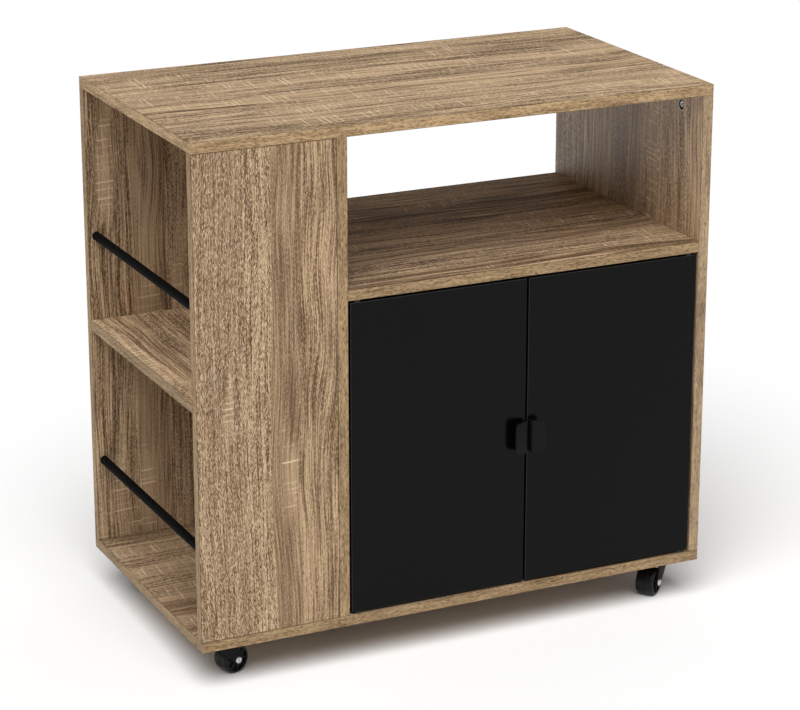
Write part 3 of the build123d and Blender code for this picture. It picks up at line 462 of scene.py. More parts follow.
def hardboard_sheet(face_print):
    """Brown hardboard: short pressed fibres that lie both ways, under the oak print on its front."""
    s = Finish("Printed hardboard", Specular_IOR_Level=0.15)
    lying = s.noise(s.stretch(s.spot, 170, 400, 1100), detail=2.0, roughness=0.6)
    standing = s.noise(s.stretch(s.spot, 1100, 400, 170), detail=2.0, roughness=0.6)
    cloud = s.noise(s.stretch(s.spot, 14, 14, 14), detail=3.0)
    share = s.total(s.swing(lying, 1.1), s.swing(standing, 1.1), s.swing(cloud, 0.35), 0.5)
    colour = s.ramp(share, [(0.0, (0.13, 0.078, 0.040, 1)), (1.0, (0.36, 0.235, 0.135, 1))])
    x, y, z = s.split(s.spot)
    paper = {"Grain": s.shift(s.join(z, x, y), 2.2, 9.6, 2.7), "Boldness": 1.5}
    printed = s.add("ShaderNodeGroup", paper, output="Colour", node_tree=face_print)
    on_front = s.calc("LESS_THAN", s.facing()[1], -0.5)
    colour = s.blend(on_front, colour, printed)
    return s.done(colour, s.total(s.swing(standing, 0.2), 0.6), s.total(lying, standing), 0.06 * MM)


# Meshes

# Points nearer than this are one, in metres: in drawn shapes, and in cut shapes and CAD meshes
DRAWN_DOUBLES = 1e-7
CUT_DOUBLES = 1e-6


def clean(shape, distance):
    """Merges doubles and removes faces without area."""
    bmesh.ops.remove_doubles(shape, verts=shape.verts, dist=distance)
    bmesh.ops.dissolve_degenerate(shape, edges=shape.edges, dist=distance)


def lofted(name, rings, capped=True):
    """A clean solid through rings of equally many points, with flat faces over its two ends."""
    count = len(rings[0])
    last = count * (len(rings) - 1)
    faces = [range(count), range(last, last + count)] if capped else []
    for start in range(0, last, count):
        for step in range(count):
            after = (step + 1) % count
            faces.append((start + step, start + after, start + count + after, start + count + step))
    shape = bmesh.new()
    points = [shape.verts.new(point) for ring in rings for point in ring]
    for face in faces:
        shape.faces.new([points[corner] for corner in face])
    clean(shape, DRAWN_DOUBLES)
    bmesh.ops.recalc_face_normals(shape, faces=shape.faces)
    mesh = bpy.data.meshes.new(name)
    shape.to_mesh(mesh)
    shape.free()
    return mesh


def turned(name, profile, segments=48):
    """A solid of revolution about Z, from radii and heights that end on the axis or where they start."""
    turns = [2 * pi * step / segments for step in range(segments)]
    rings = [[(radius * cos(a), radius * sin(a), height) for a in turns] for radius, height in profile]
    return lofted(name, rings, capped=False)


def prism(name, outline, bottom, top):
    """A straight prism along Z over an outline of points in X and Y."""
    return lofted(name, [[(x, y, level) for x, y in outline] for level in (bottom, top)])


def arc(centre, radius, start, end, steps=8):
    """Points on an arc between two angles in degrees."""
    angles = [radians(start + (end - start) * step / steps) for step in range(steps + 1)]
    return [(centre[0] + radius * cos(angle), centre[1] + radius * sin(angle)) for angle in angles]


def object_of(mesh):
    """A new object in the scene for a mesh, at the origin."""
    piece = bpy.data.objects.new(mesh.name, mesh)
    bpy.context.scene.collection.objects.link(piece)
    return piece


def baked(piece, name):
    """The mesh of an object with its modifiers applied; the object itself is removed."""
    bpy.context.view_layer.update()
    result = bpy.data.meshes.new_from_object(piece.evaluated_get(bpy.context.evaluated_depsgraph_get()))
    result.name = name
    bpy.data.objects.remove(piece)
    return result


def cut(mesh, tool, operation="DIFFERENCE"):
    """One mesh cut by another, joined with it, or their common part."""
    piece, cutter = object_of(mesh), object_of(tool)
    change = piece.modifiers.new("Cut", "BOOLEAN")
    change.object = cutter
    change.operation = operation
    change.solver = "EXACT"
    result = baked(piece, mesh.name)
    bpy.data.objects.remove(cutter)
    shape = bmesh.new()
    shape.from_mesh(result)
    clean(shape, CUT_DOUBLES)
    shape.to_mesh(result)
    shape.free()
    return result


def eased(mesh, width, segments=2):
    """A mesh with its sharp edges rounded."""
    piece = object_of(mesh)
    change = piece.modifiers.new("Eased edges", "BEVEL")
    change.width = width
    change.segments = segments
    change.limit_method = "ANGLE"
    change.angle_limit = radians(40)
    return baked(piece, mesh.name)


def smoothed(mesh, angle=35):
    """Smooth shading, broken at edges that turn by more than the angle in degrees."""
    mesh.shade_smooth()
    mesh.set_sharp_from_angle(angle=radians(angle))
    return mesh


def merged(name, placed):
    """One mesh from several meshes, each moved by its matrix."""
    shape = bmesh.new()
    for mesh, matrix in placed:
        copy = mesh.copy()
        copy.transform(matrix)
        shape.from_mesh(copy)
        bpy.data.meshes.remove(copy)
    result = bpy.data.meshes.new(name)
    shape.to_mesh(result)
    shape.free()
    return result


def piece_of(mesh, finish, body, slot, *replaced):
    """A finished piece that rides on a body and stands for CAD nodes."""
    mesh.materials.clear()
    mesh.materials.append(finish)
    piece = object_of(smoothed(mesh))
    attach(piece, body)
    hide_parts(*replaced)


# Geometry Nodes: fasteners set at their seats, round bars and wheel ribs


class Geometry(Nodes):
    """Nodes of one Geometry Nodes tree, with named inputs between the geometry and the finish."""

    def __init__(self, name, inputs):
        super().__init__(bpy.data.node_groups.new(name, "GeometryNodeTree"))
        self.tree.is_modifier = True
        for socket, kind in {"Geometry": "Geometry", **inputs, "Finish": "Material"}.items():
            self.tree.interface.new_socket(socket, in_out="INPUT", socket_type=f"NodeSocket{kind}")
        self.tree.interface.new_socket("Geometry", in_out="OUTPUT", socket_type="NodeSocketGeometry")
        self.enter = self.tree.nodes.new("NodeGroupInput").outputs

    def close(self, geometry):
        """Ends the tree: instances become real and the finish is set."""
        real = self.add("GeometryNodeRealizeInstances", {"Geometry": geometry})
        done = self.add("GeometryNodeSetMaterial", {"Geometry": real, "Material": self.enter["Finish"]})
        self.fill(self.tree.nodes.new("NodeGroupOutput").inputs, Geometry=done)
        return self.tree

    @staticmethod
    def run(tree, mesh, name, **values):
        """The plain mesh that a tree makes from a mesh and its named inputs."""
        piece = object_of(mesh)
        change = piece.modifiers.new(tree.name, "NODES")
        change.node_group = tree
        for socket in tree.interface.items_tree:
            key = socket.name.replace(" ", "_")
            if socket.in_out == "INPUT" and key in values:
                change[socket.identifier] = values[key]
        return baked(piece, name)


def seat_tree():
    """Sets a fastener at each point, along the point's facing, with its driver slot turned at random."""
    g = Geometry("Fasteners at their seats", {"Fastener": "Object", "Slot seed": "Int"})
    shape = g.add("GeometryNodeObjectInfo", {"Object": g.enter["Fastener"]}, output="Geometry")
    facing = g.add("GeometryNodeInputNamedAttribute", {"Name": "facing"}, data_type="FLOAT_VECTOR")
    straight = g.add("FunctionNodeAlignRotationToVector", {"Vector": facing}, axis="Z")
    float_max = 3  # the place of this input, since three inputs of the node are named Max
    draw = {float_max: 2 * pi, "Seed": g.enter["Slot seed"]}
    angle = g.add("FunctionNodeRandomValue", draw, output=1, data_type="FLOAT")
    slot_turn = g.add("FunctionNodeAxisAngleToRotation", {"Axis": (0, 0, 1), "Angle": angle})
    turned_seat = {"Rotation": straight, "Rotate By": slot_turn}
    rotation = g.add("FunctionNodeRotateRotation", turned_seat, rotation_space="LOCAL")
    points = {"Points": g.enter["Geometry"], "Instance": shape, "Rotation": rotation}
    return g.close(g.add("GeometryNodeInstanceOnPoints", points))


def bar_tree():
    """A round bar between two points."""
    sides = 64
    g = Geometry("Round bar", {"Start": "Vector", "End": "Vector", "Radius": "Float"})
    line = g.add("GeometryNodeCurvePrimitiveLine", {"Start": g.enter["Start"], "End": g.enter["End"]})
    ring = g.add("GeometryNodeCurvePrimitiveCircle", {"Resolution": sides, "Radius": g.enter["Radius"]})
    bar = g.add("GeometryNodeCurveToMesh", {"Curve": line, "Profile Curve": ring, "Fill Caps": True})
    return g.close(bar)


def rib_tree():
    """Ribs that stand like spokes round a hub, on the plane of X and Y."""
    g = Geometry("Wheel ribs", {"Ribs": "Int", "Middle radius": "Float", "Rib size": "Vector"})
    circle = {"Vertices": g.enter["Ribs"], "Radius": g.enter["Middle radius"]}
    ring = g.add("GeometryNodeMeshCircle", circle)
    rib = g.add("GeometryNodeMeshCube", {"Size": g.enter["Rib size"]})
    outwards = g.add("GeometryNodeInputPosition", {})
    rotation = g.add("FunctionNodeAlignRotationToVector", {"Vector": outwards}, axis="X")
    spokes = g.add("GeometryNodeInstanceOnPoints", {"Points": ring, "Instance": rib, "Rotation": rotation})
    return g.close(spokes)


def islands(node):
    """The boxes of the separate solids of one CAD node."""
    shape = bmesh.new()
    shape.from_mesh(nodes[node].data)
    bmesh.ops.remove_doubles(shape, verts=shape.verts, dist=CUT_DOUBLES)
    waiting = set(shape.verts)
    boxes = []
    while waiting:
        heap = [waiting.pop()]
        found = []
        while heap:
            vertex = heap.pop()
            found.append(vertex.co.copy())
            for edge in vertex.link_edges:
                other = edge.other_vert(vertex)
                if other in waiting:
                    waiting.remove(other)
                    heap.append(other)
        low = Vector(min(point[i] for point in found) for i in range(3))
        high = Vector(max(point[i] for point in found) for i in range(3))
        boxes.append((low, high))
    shape.free()
    return sorted(boxes, key=lambda box: tuple(round(value, 5) for value in box[0]))


def seats(node, facing_of):
    """The outer end and the facing of each fastener in a CAD node."""
    found = []
    for low, high in islands(node):
        middle = (low + high) / 2
        facing = Vector(facing_of(middle, high - low))
        end = middle + Vector(facing[i] * (high[i] - low[i]) / 2 for i in range(3))
        found.append((end, facing))
    return found


def set_fasteners(name, places, fastener, finish, seed):
    """A mesh of one fastener repeated at every place."""
    points = bpy.data.meshes.new(f"{name}_seats")
    points.from_pydata([place for place, _ in places], [], [])
    facing = points.attributes.new("facing", "FLOAT_VECTOR", "POINT")
    for number, (_, direction) in enumerate(places):
        facing.data[number].vector = direction
    pattern = object_of(smoothed(fastener))
    mesh = Geometry.run(SEAT_TREE, points, name, Fastener=pattern, Slot_seed=seed, Finish=finish)
    bpy.data.objects.remove(pattern)
    return mesh


# Fastener shapes, with the outer end at zero height and the shank below it


def cross_recess(reach, wall, depth):
    """A cutter for a crossed driver recess that narrows with depth."""
    narrow = 0.55
    corners = [(-reach, -wall / 2), (reach, -wall / 2), (reach, wall / 2), (-reach, wall / 2)]
    arms = []
    for turn in (0, pi / 2):
        arm = prism("recess", corners, -depth, depth)
        for vertex in arm.vertices:
            if vertex.co.z < 0:
                vertex.co.x *= narrow
        arm.transform(Matrix.Rotation(turn, 4, "Z"))
        arms.append(arm)
    return cut(*arms, "UNION")


def hexagon_recess(across_flats, depth):
    """A cutter for a hexagon socket."""
    radius = across_flats / sqrt(3)
    corners = [(radius * cos(i * pi / 3), radius * sin(i * pi / 3)) for i in range(6)]
    return prism("hexagon", corners, -depth, depth)


def pan_head(head, height, shank, length, recess):
    """A screw with a low domed head."""
    edge = [(head / 2 * cos(a), -height + 0.55 * height * (1 + 0.8 * sin(a))) for a in (0.0, 0.4, 0.8, 1.2)]
    profile = [(0, 0), (head * 0.2, -0.02 * height), (head * 0.36, -0.1 * height)]
    profile += [(radius, min(level, -0.12 * height)) for radius, level in reversed(edge)]
    profile += [(head / 2, -height), (shank / 2, -height), (shank / 2, -length + shank / 2), (0, -length)]
    return cut(turned("pan_head", profile), recess)


def flat_head(head, height, shank, length, recess):
    """A screw whose head lies flush."""
    rim = 0.35 * MM
    profile = [(0, 0), (head / 2 - rim, 0), (head / 2, -rim), (head / 2, -height)]
    profile += [(shank / 2, -height), (shank / 2, -length + shank / 2), (0, -length)]
    return cut(turned("flat_head", profile), recess)


def cam_lock():
    """A die-cast cam: a thin ring, a deep groove, and a domed middle off centre with a crossed recess."""
    radius, depth, rim, floor = 7.4 * MM, 12.5 * MM, 0.45 * MM, 11.0 * MM
    cup = [(0, -floor), (radius - rim, -floor), (radius - rim, -0.1 * MM), (radius - 0.2 * MM, -0.1 * MM)]
    cup += [(radius, -0.3 * MM), (radius, -depth), (0, -depth)]
    boss, root = 5.3 * MM, -floor - 0.5 * MM
    dome = [(0, -0.1 * MM), (2.6 * MM, -0.2 * MM), (4.6 * MM, -0.5 * MM), (boss, -1.1 * MM)]
    middle = turned("middle", dome + [(boss, root), (0, root)])
    middle = cut(middle, cross_recess(4.0 * MM, 1.9 * MM, 3.2 * MM))
    aside, narrow_side = 1.25 * MM, radians(77)
    middle.transform(Matrix.Translation((aside * cos(narrow_side), aside * sin(narrow_side), 0)))
    return cut(turned("cam", cup), middle, "UNION")


def shelf_pin():
    """A steel shelf pin with a rounded collar end."""
    collar, pin, reach = 3.5 * MM, 2.5 * MM, 8.0 * MM
    profile = [(0, 0), (collar - 0.8 * MM, 0), (collar - 0.23 * MM, -0.23 * MM), (collar, -0.8 * MM)]
    profile += [(collar, -reach), (pin, -reach), (pin, -2 * reach + 0.5 * MM), (pin - 0.5 * MM, -2 * reach)]
    return turned("pin", profile + [(0, -2 * reach)])


def rivet(shank_length):
    """A domed rivet head with a punched dimple, and half of its shank."""
    head, dome, shank = 5.0 * MM, RIVET_HEAD, 2.5 * MM
    profile = [(0, -0.9 * MM), (0.9 * MM, -0.75 * MM), (1.7 * MM, -0.15 * MM), (2.3 * MM, 0)]
    profile += [(3.3 * MM, -0.2 * MM), (4.2 * MM, -0.7 * MM), (4.8 * MM, -1.35 * MM), (head, -dome)]
    profile += [(shank, -dome), (shank, -dome - shank_length), (0, -dome - shank_length)]
    return turned("rivet", profile)


# Pulls


def pull_mesh(node, towards_pivot):
    """A bent strip: a thin leg beside the gap, a leaning lip with round outer corners, and two posts."""
    low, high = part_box(node)
    reach, projection = high.x - low.x, high.y - low.y
    half_height, middle = (high.z - low.z) / 2, (high.z + low.z) / 2
    leg, plate, corner = 10.0 * MM, 2.2 * MM, 7.0 * MM
    post, screw_offset = 4.0 * MM, 12.5 * MM
    outer_bend, inner_bend, ease = 2.2 * MM, 0.8 * MM, 0.45 * MM

    # Places on the lip, by their distance from its free edge, from where its corners begin
    stations = [corner, 4.6 * MM, 2.7 * MM, 1.3 * MM, 0.4 * MM, 0.1 * MM, 0]

    def surface(x, y, radius):
        """One side of the strip: distances from the leg's outer face and from the door."""
        lean = atan2(projection - leg, reach - x)
        centre = (x + radius, y - radius * tan((pi / 2 - lean) / 2))
        bent = arc(centre, radius, 180, 90 + degrees(lean), 6)
        lip = [(reach - station, y + (reach - station - x) * tan(lean)) for station in stations]
        return [(x, 0)] + bent + lip

    outer = surface(0, leg, outer_bend)
    inner = surface(plate, leg - plate, inner_bend)
    loss = [corner - sqrt(max(0.0, corner**2 - (corner - station) ** 2)) for station in stations]
    halves = [half_height] * (len(outer) - len(stations)) + [half_height - value for value in loss]

    edge = low.x if towards_pivot > 0 else high.x
    rings = []
    for front, back, half in zip(outer, inner, halves):
        ring = [(front, half), (back, half), (back, -half), (front, -half)]
        rings.append([(edge + towards_pivot * x, high.y - y, middle + z) for (x, y), z in ring])
    placed = [(eased(lofted(f"{node}_strip", rings), ease, segments=3), Matrix())]
    stud = turned("post", [(0, 0), (post, 0), (post, leg - plate / 2), (0, leg - plate / 2)])
    for offset in (-screw_offset, screw_offset):
        foot = (edge + towards_pivot * (plate / 2 + post), high.y, middle + offset)
        placed.append((stud, Matrix.Translation(foot) @ Matrix.Rotation(pi / 2, 4, "X")))
    return merged(f"{node}_bent_strip", placed)


# Casters: plate and fork drawn with the kingpin on Z and the wheel trailing along X, the wheel about Z

WHEEL_RADIUS = 20.0 * MM
WHEEL_HALF_WIDTH = 13.0 * MM
FORK_INSIDE = 13.7 * MM
FORK_OUTSIDE = 16.2 * MM
FORK_TOP = 46.0 * MM
FORK_CROWN = 2.5 * MM
FORK_HALF_LENGTH = 15.0 * MM
FORK_EYE = 7.5 * MM
RIVET_HEAD = 2.0 * MM


def wheel_mesh(finish):
    """A moulded wheel: rounded tread with a parting groove, sunk sides, a hub and ribs."""
    half, tread = WHEEL_HALF_WIDTH, WHEEL_RADIUS
    edge, land, sunk, hub, bore = 3.5 * MM, 1.0 * MM, 3.0 * MM, 6.5 * MM, 2.56 * MM
    rim = tread - edge - land
    groove, dip = 0.6 * MM, 0.5 * MM
    side = [(bore, half), (hub - 0.4 * MM, half), (hub, half - 0.4 * MM), (hub + 0.3 * MM, half - sunk)]
    side += [(rim - 0.5 * MM, half - sunk), (rim, half - 0.3 * MM), (rim + 0.3 * MM, half)]
    side += [(radius, axial) for axial, radius in arc((half - edge, tread - edge), edge, 0, 90)]
    side += [(tread, groove), (tread - dip, groove * 0.4)]
    profile = side + [(radius, -axial) for radius, axial in reversed(side)]
    profile.append(profile[0])
    body = turned("wheel", profile, segments=64)
    rib_size = (rim - hub, 1.6 * MM, 2.4 * MM)
    empty = bpy.data.meshes.new("ribs")
    sizes = {"Ribs": 8, "Middle_radius": (rim + hub) / 2, "Rib_size": rib_size}
    ribs = Geometry.run(RIB_TREE, empty, "ribs", Finish=finish, **sizes)
    level = half - sunk + rib_size[2] / 2 - 0.3 * MM
    placed = [(body, Matrix())]
    placed += [(ribs, Matrix.Translation((0, 0, sign * level))) for sign in (1, -1)]
    return merged("wheel", placed)


def fork_mesh(trail):
    """A pressed fork: a bent channel cut to the outline of its crown and two tapering legs."""
    inside, outside, crown_floor = FORK_INSIDE, FORK_OUTSIDE, FORK_TOP - FORK_CROWN
    bend, fold = 3.6 * MM, 1.1 * MM
    bottom = WHEEL_RADIUS - FORK_EYE - 2 * MM
    channel = [(-outside, bottom)]
    channel += arc((-outside + bend, FORK_TOP - bend), bend, 180, 90)
    channel += arc((outside - bend, FORK_TOP - bend), bend, 90, 0)
    channel += [(outside, bottom), (inside, bottom)]
    channel += arc((inside - fold, crown_floor - fold), fold, 0, 90, 4)
    channel += arc((-inside + fold, crown_floor - fold), fold, 90, 180, 4)
    channel += [(-inside, bottom)]
    long = 60 * MM
    bent = prism("fork", channel, -long, long)
    bent.transform(Matrix(((0, 0, 1, 0), (1, 0, 0, 0), (0, 1, 0, 0), (0, 0, 0, 1))))
    corner, skirt = 2.0 * MM, 4.0 * MM
    crown = [(x, z) for x in (-FORK_HALF_LENGTH, FORK_HALF_LENGTH) for z in (FORK_TOP, FORK_TOP - skirt)]
    points = crown + arc((trail, WHEEL_RADIUS), FORK_EYE, 0, 352.5, 47)
    outline = [points[number] for number in convex_hull_2d(points)]
    tool = prism("outline", outline, -outside - corner, outside + corner)
    tool.transform(Matrix(((1, 0, 0, 0), (0, 0, -1, 0), (0, 1, 0, 0), (0, 0, 0, 1))))
    return eased(cut(bent, tool, "INTERSECT"), 0.5 * MM)


def plate_mesh(level, thickness, size, dish_depth):
    """A screwed plate with rounded corners and a pressed dish that the fork turns under."""
    half, corner, dish = size / 2, 6.0 * MM, 13.5 * MM
    inset = half - corner
    quarters = ((inset, inset, 0), (-inset, inset, 90), (-inset, -inset, 180), (inset, -inset, 270))
    outline = [point for x, y, start in quarters for point in arc((x, y), corner, start, start + 90)]
    plate = eased(prism("plate", outline, level - thickness, level), 0.4 * MM)
    top, bottom = level - thickness, level - thickness - dish_depth
    profile = [(0, top), (dish + 0.8 * MM, top), (dish, top - 0.8 * MM)]
    profile += [(dish - 1.0 * MM, bottom + 1.6 * MM), (dish - 1.8 * MM, bottom + 0.5 * MM)]
    profile += [(dish - 3.0 * MM, bottom), (0, bottom)]
    return merged("plate", [(plate, Matrix()), (turned("dish", profile), Matrix())])


def joint_place(name):
    """The place of a joint in the frame."""
    return Vector(joints[name]["pos_m"])


def build_casters(black_metal, wheel_plastic, rivet_steel):
    """Replaces each caster's plate, fork, rivets and wheel."""
    corners = [f"{row}_{column}" for row in ("front", "rear") for column in ("left", "right")]
    model = corners[0]
    trail = (joint_place(f"{model}_roll") - joint_place(f"{model}_swivel")).xy.length
    low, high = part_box(f"{model}_caster_plate")
    thickness = 2.0 * MM
    dish_depth = high.z - low.z - thickness
    shapes = {
        "fork": fork_mesh(trail),
        "wheel": wheel_mesh(wheel_plastic),
        "plate": plate_mesh(high.z, thickness, high.x - low.x, dish_depth),
    }
    pin = rivet(FORK_OUTSIDE)
    for number, corner in enumerate(corners):
        kingpin, axle = joint_place(f"{corner}_swivel"), joint_place(f"{corner}_roll")
        turn = atan2(axle.y - kingpin.y, axle.x - kingpin.x)
        square = Matrix.Translation((kingpin.x, kingpin.y, 0))
        upright = square @ Matrix.Rotation(turn, 4, "Z")
        across = upright @ Matrix.Translation((trail, 0, axle.z)) @ Matrix.Rotation(-pi / 2, 4, "X")

        plate = merged(f"{corner}_plate_pressed", [(shapes["plate"], square)])
        piece_of(plate, black_metal, "carcass", "black_metal", f"{corner}_caster_plate")
        fork = merged(f"{corner}_fork_pressed", [(shapes["fork"], upright)])
        piece_of(fork, black_metal, f"{corner}_swivel", "black_metal", f"{corner}_fork")
        wheel = merged(f"{corner}_wheel_moulded", [(shapes["wheel"], across)])
        piece_of(wheel, wheel_plastic, f"{corner}_wheel", "caster_plastic", f"{corner}_wheel")
        out = (upright.to_3x3() @ Vector((0, 1, 0))) * (FORK_OUTSIDE + RIVET_HEAD)
        ends = [(axle + out, out.normalized()), (axle - out, -out.normalized())]
        rivets = set_fasteners(f"{corner}_axle_rivet", ends, pin.copy(), rivet_steel, number)
        piece_of(rivets, rivet_steel, f"{corner}_swivel", "rivet_steel", f"{corner}_axle")


# Rails, fasteners and the CAD nodes that stay


def build_rails(rail_coat):
    """Replaces the two rails by smooth round bars."""
    for node in ("upper_rail", "lower_rail"):
        low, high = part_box(node)
        middle = (low + high) / 2
        radius = (high.x - low.x) / 2
        ends = {"Start": (middle.x, low.y, middle.z), "End": (middle.x, high.y, middle.z)}
        empty = bpy.data.meshes.new(node)
        bar = Geometry.run(BAR_TREE, empty, f"{node}_round_bar", Radius=radius, Finish=rail_coat, **ends)
        piece_of(bar, rail_coat, "carcass", "black_metal", node)


def build_fasteners(zinc, steel):
    """Replaces the cam locks, screws and shelf pins by detailed ones."""

    def cam_facing(middle, size):
        if size.x < size.y:
            return (-1, 0, 0)
        if size.z < size.y:
            return (0, 0, -1)
        return (0, -1 if middle.y > 0 else 1, 0)

    def downwards(middle, size):
        return (0, 0, -1)

    def inwards(middle, size):
        return (0, 1, 0)

    cabinet_middle = sum(corner.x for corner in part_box("niche_shelf")) / 2

    def into_cabinet(middle, size):
        return (1 if middle.x < cabinet_middle else -1, 0, 0)

    small_cross = cross_recess(1.9 * MM, 0.7 * MM, 1.3 * MM)
    middle_cross = cross_recess(2.3 * MM, 0.8 * MM, 1.5 * MM)
    tiny_cross = cross_recess(1.4 * MM, 0.55 * MM, 0.9 * MM)
    base_screw = flat_head(10 * MM, 3 * MM, 6 * MM, 50 * MM, hexagon_recess(4 * MM, 2.4 * MM))
    caster_screw = pan_head(7.6 * MM, 2.2 * MM, 4 * MM, 14.2 * MM, middle_cross.copy())
    catch_screw = pan_head(6 * MM, 2 * MM, 3 * MM, 13.9 * MM, small_cross)
    pull_screw = pan_head(8 * MM, 2.5 * MM, 4 * MM, 23.5 * MM, middle_cross.copy())
    strike_screw = flat_head(5 * MM, 1.2 * MM, 2.5 * MM, 11.2 * MM, tiny_cross)
    sets = [
        ("cam_locks", "carcass", cam_facing, cam_lock()),
        ("base_screws", "carcass", downwards, base_screw),
        ("caster_screws", "carcass", downwards, caster_screw),
        ("catch_screws", "carcass", downwards, catch_screw),
        ("shelf_pins", "carcass", into_cabinet, shelf_pin()),
    ]
    for side in ("left", "right"):
        sets.append((f"{side}_pull_screws", f"{side}_door", inwards, pull_screw.copy()))
        sets.append((f"{side}_strike_screw", f"{side}_door", inwards, strike_screw.copy()))
    for number, (node, body, facing, shape) in enumerate(sets):
        finish, slot = (zinc, "zinc") if node == "cam_locks" else (steel, "steel")
        mesh = set_fasteners(f"{node}_detailed", seats(node, facing), shape, finish, number)
        piece_of(mesh, finish, body, slot, node)


def dress(finish, *names):
    """Gives CAD nodes that stay visible their finish."""
    for name in names:
        for slot in nodes[name].material_slots:
            slot.material = finish


# Grain axis, thickness axis, place on the printed paper and looks of each oak board
# Looks: share of saw marks, boldness of the strips, tone of the faces, tone of the edges, sheen; the tones
# are partly painted light and shade, lighter or darker for how the light falls on each board
OAK_BOARDS = {
    "top_panel": ("X", "Z", (3.1, 0.42, 0.0), (1.0, 2.6, 0.96, 1.15, 0.03)),
    "bottom_panel": ("X", "Z", (7.7, 1.35, 0.3), (0.5, 1.7, 0.87, 0.92, 0.05)),
    "niche_shelf": ("X", "Z", (5.2, 2.31, 0.6), (0.5, 2.8, 0.94, 0.95, 0.04)),
    "cabinet_shelf": ("X", "Z", (9.4, 3.17, 0.9), (0.5, 1.0, 1.0, 0.95, 0.12)),
    "right_side_panel": ("Z", "X", (2.6, 4.45, 1.2), (0.0, 1.6, 1.12, 1.0, 0.50)),
    "partition_panel": ("Z", "X", (6.3, 5.28, 1.5), (0.5, 2.3, 0.72, 0.98, 0.05)),
    "bay_front_panel": ("Z", "Y", (4.8, 6.657, 1.8), (-0.3, 0.75, 1.02, 0.95, 0.04)),
    "bay_back_panel": ("Z", "Y", (8.9, 7.54, 2.1), (0.35, 1.8, 0.91, 0.95, 0.04)),
    "bay_shelf": ("Y", "Z", (1.7, 8.82, 2.4), (0.6, 1.8, 1.22, 0.86, 0.04)),
}

face_print = oak_print()
edge_print = band_print()
for board, (grain, thickness, offset, looks) in OAK_BOARDS.items():
    dress(oak_board(board, grain, thickness, offset, looks, face_print, edge_print), board)

# Black finishes: dark and light colour, grain and relief in metres, roughness and sheen
coal, soot = (0.0031, 0.0030, 0.0031, 1), (0.0062, 0.0060, 0.0062, 1)
slate, ash = (0.008, 0.008, 0.008, 1), (0.016, 0.016, 0.016, 1)
black_metal = speckled("Matt black powder coat", coal, soot, 0.0007, 0.00006, 0.55, sheen=0.12)
rail_coat = speckled("Matt black rail coat", coal, soot, 0.0007, 0.00006, 0.62, sheen=0.02)
wheel_plastic = speckled("Black caster plastic", coal, soot, 0.0009, 0.00004, 0.34, sheen=0.18)
nylon = speckled("Black nylon", slate, ash, 0.0006, 0.00003, 0.5, sheen=0.5)

# Metals: dark and light colour, and roughness
zinc = plated_metal("Die-cast zinc", (0.50, 0.50, 0.505, 1), (0.80, 0.80, 0.805, 1), 0.26)
shaded_pin_steel = plated_metal("Blackened steel", (0.012, 0.012, 0.013, 1), (0.030, 0.030, 0.031, 1), 0.40)
steel = plated_metal("Zinc-plated steel", (0.42, 0.42, 0.43, 1), (0.66, 0.66, 0.67, 1), 0.32)
rivet_steel = plated_metal("Bright rivet steel", (0.50, 0.50, 0.51, 1), (0.74, 0.74, 0.75, 1), 0.30)

dress(black_door_board(), "left_door", "right_door")
dress(beech_dowel(), "wood_dowels")
dress(hardboard_sheet(face_print), "cabinet_back_panel")
dress(nylon, "catch_housing", "pivot_panel_bushes", "left_door_bushes", "right_door_bushes")
dress(steel, "cam_bolts", "catch_magnets", "left_strike_plate", "right_strike_plate")
# The pivot pins' steel is darkened as painted shade of the gap at the doors' pivot corners
dress(shaded_pin_steel, "left_pivot_pins", "right_pivot_pins")
dress(steel, *(name for name in nodes if name.endswith("_kingpin")))

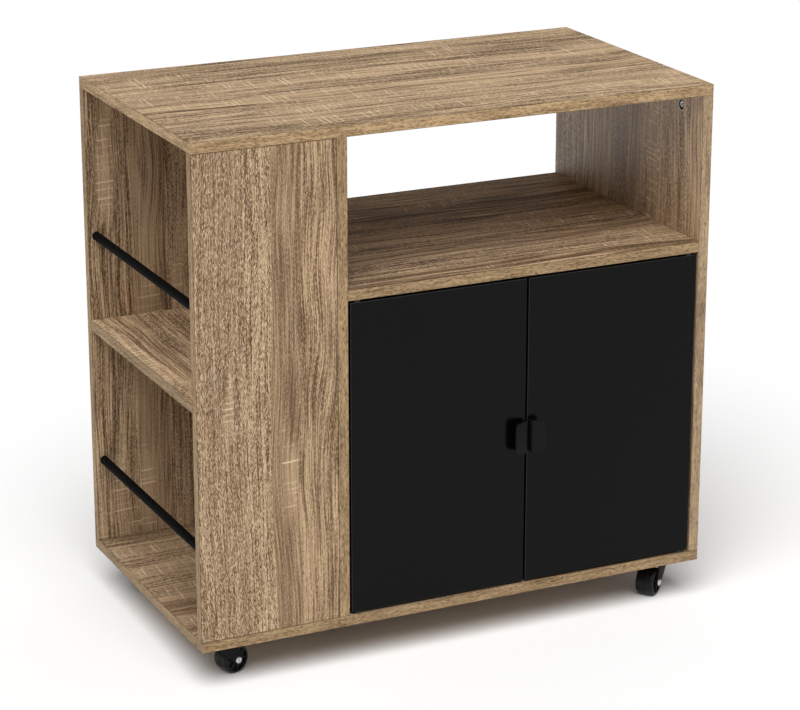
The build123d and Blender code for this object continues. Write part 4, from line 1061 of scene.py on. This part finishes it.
SEAT_TREE = seat_tree()
BAR_TREE = bar_tree()
RIB_TREE = rib_tree()
build_rails(rail_coat)
for side, towards_pivot in (("left", -1), ("right", 1)):
    strip = pull_mesh(f"{side}_pull", towards_pivot)
    piece_of(strip, black_metal, f"{side}_door", "black_metal", f"{side}_pull")
build_casters(black_metal, wheel_plastic, rivet_steel)
build_fasteners(zinc, steel)


# Stage


def pale_floor():
    """A wide pale floor with a faintly uneven tone."""
    half = FLOOR_SIZE / 2
    corners = [(-half, -half, 0), (half, -half, 0), (half, half, 0), (-half, half, 0)]
    mesh = bpy.data.meshes.new("studio_floor")
    mesh.from_pydata(corners, [], [(0, 1, 2, 3)])
    s = Finish("Pale floor", Specular_IOR_Level=0.1, Roughness=0.8)
    cloud = s.noise(s.stretch(s.spot, 0.6, 0.6, 0.6), detail=2.0)
    colour = s.ramp(cloud, [(0.0, (0.94, 0.94, 0.94, 1)), (1.0, (0.97, 0.97, 0.97, 1))])
    s.fill(s.surface, Base_Color=colour)
    mesh.materials.append(s.material)
    object_of(mesh)


def soft_sun(name, strength, elevation, turn, softness):
    """A soft light from in front of the doors; a turn below zero comes from their left."""
    light = bpy.data.lights.new(name, "SUN")
    light.energy = strength
    light.angle = softness
    lamp = bpy.data.objects.new(name, light)
    lamp.rotation_euler = (pi / 2 - elevation, 0, turn)
    bpy.context.scene.collection.objects.link(lamp)


def photo_camera():
    """The camera at the photograph's angle."""
    lens = bpy.data.cameras.new("photo_camera")
    lens.sensor_width = SENSOR_WIDTH
    lens.lens = FOCAL_PIXELS * SENSOR_WIDTH / PICTURE_WIDTH
    lens.clip_end = 2 * FLOOR_SIZE
    camera = bpy.data.objects.new("photo_camera", lens)
    camera.location = CAMERA_PLACE
    camera.rotation_euler = (pi / 2 - CAMERA_DROP, 0, -CAMERA_TURN)
    bpy.context.scene.collection.objects.link(camera)
    bpy.context.scene.camera = camera


pale_floor()
for light_name, settings in LIGHTS.items():
    soft_sun(light_name, *settings)
sky = bpy.data.worlds.new("studio")
sky.use_nodes = True
sky.node_tree.nodes["Background"].inputs["Strength"].default_value = SKY_STRENGTH
sky.node_tree.nodes["Background"].inputs["Color"].default_value = (1, 1, 1, 1)
bpy.context.scene.world = sky
bpy.context.scene.view_settings.view_transform = "Standard"
photo_camera()
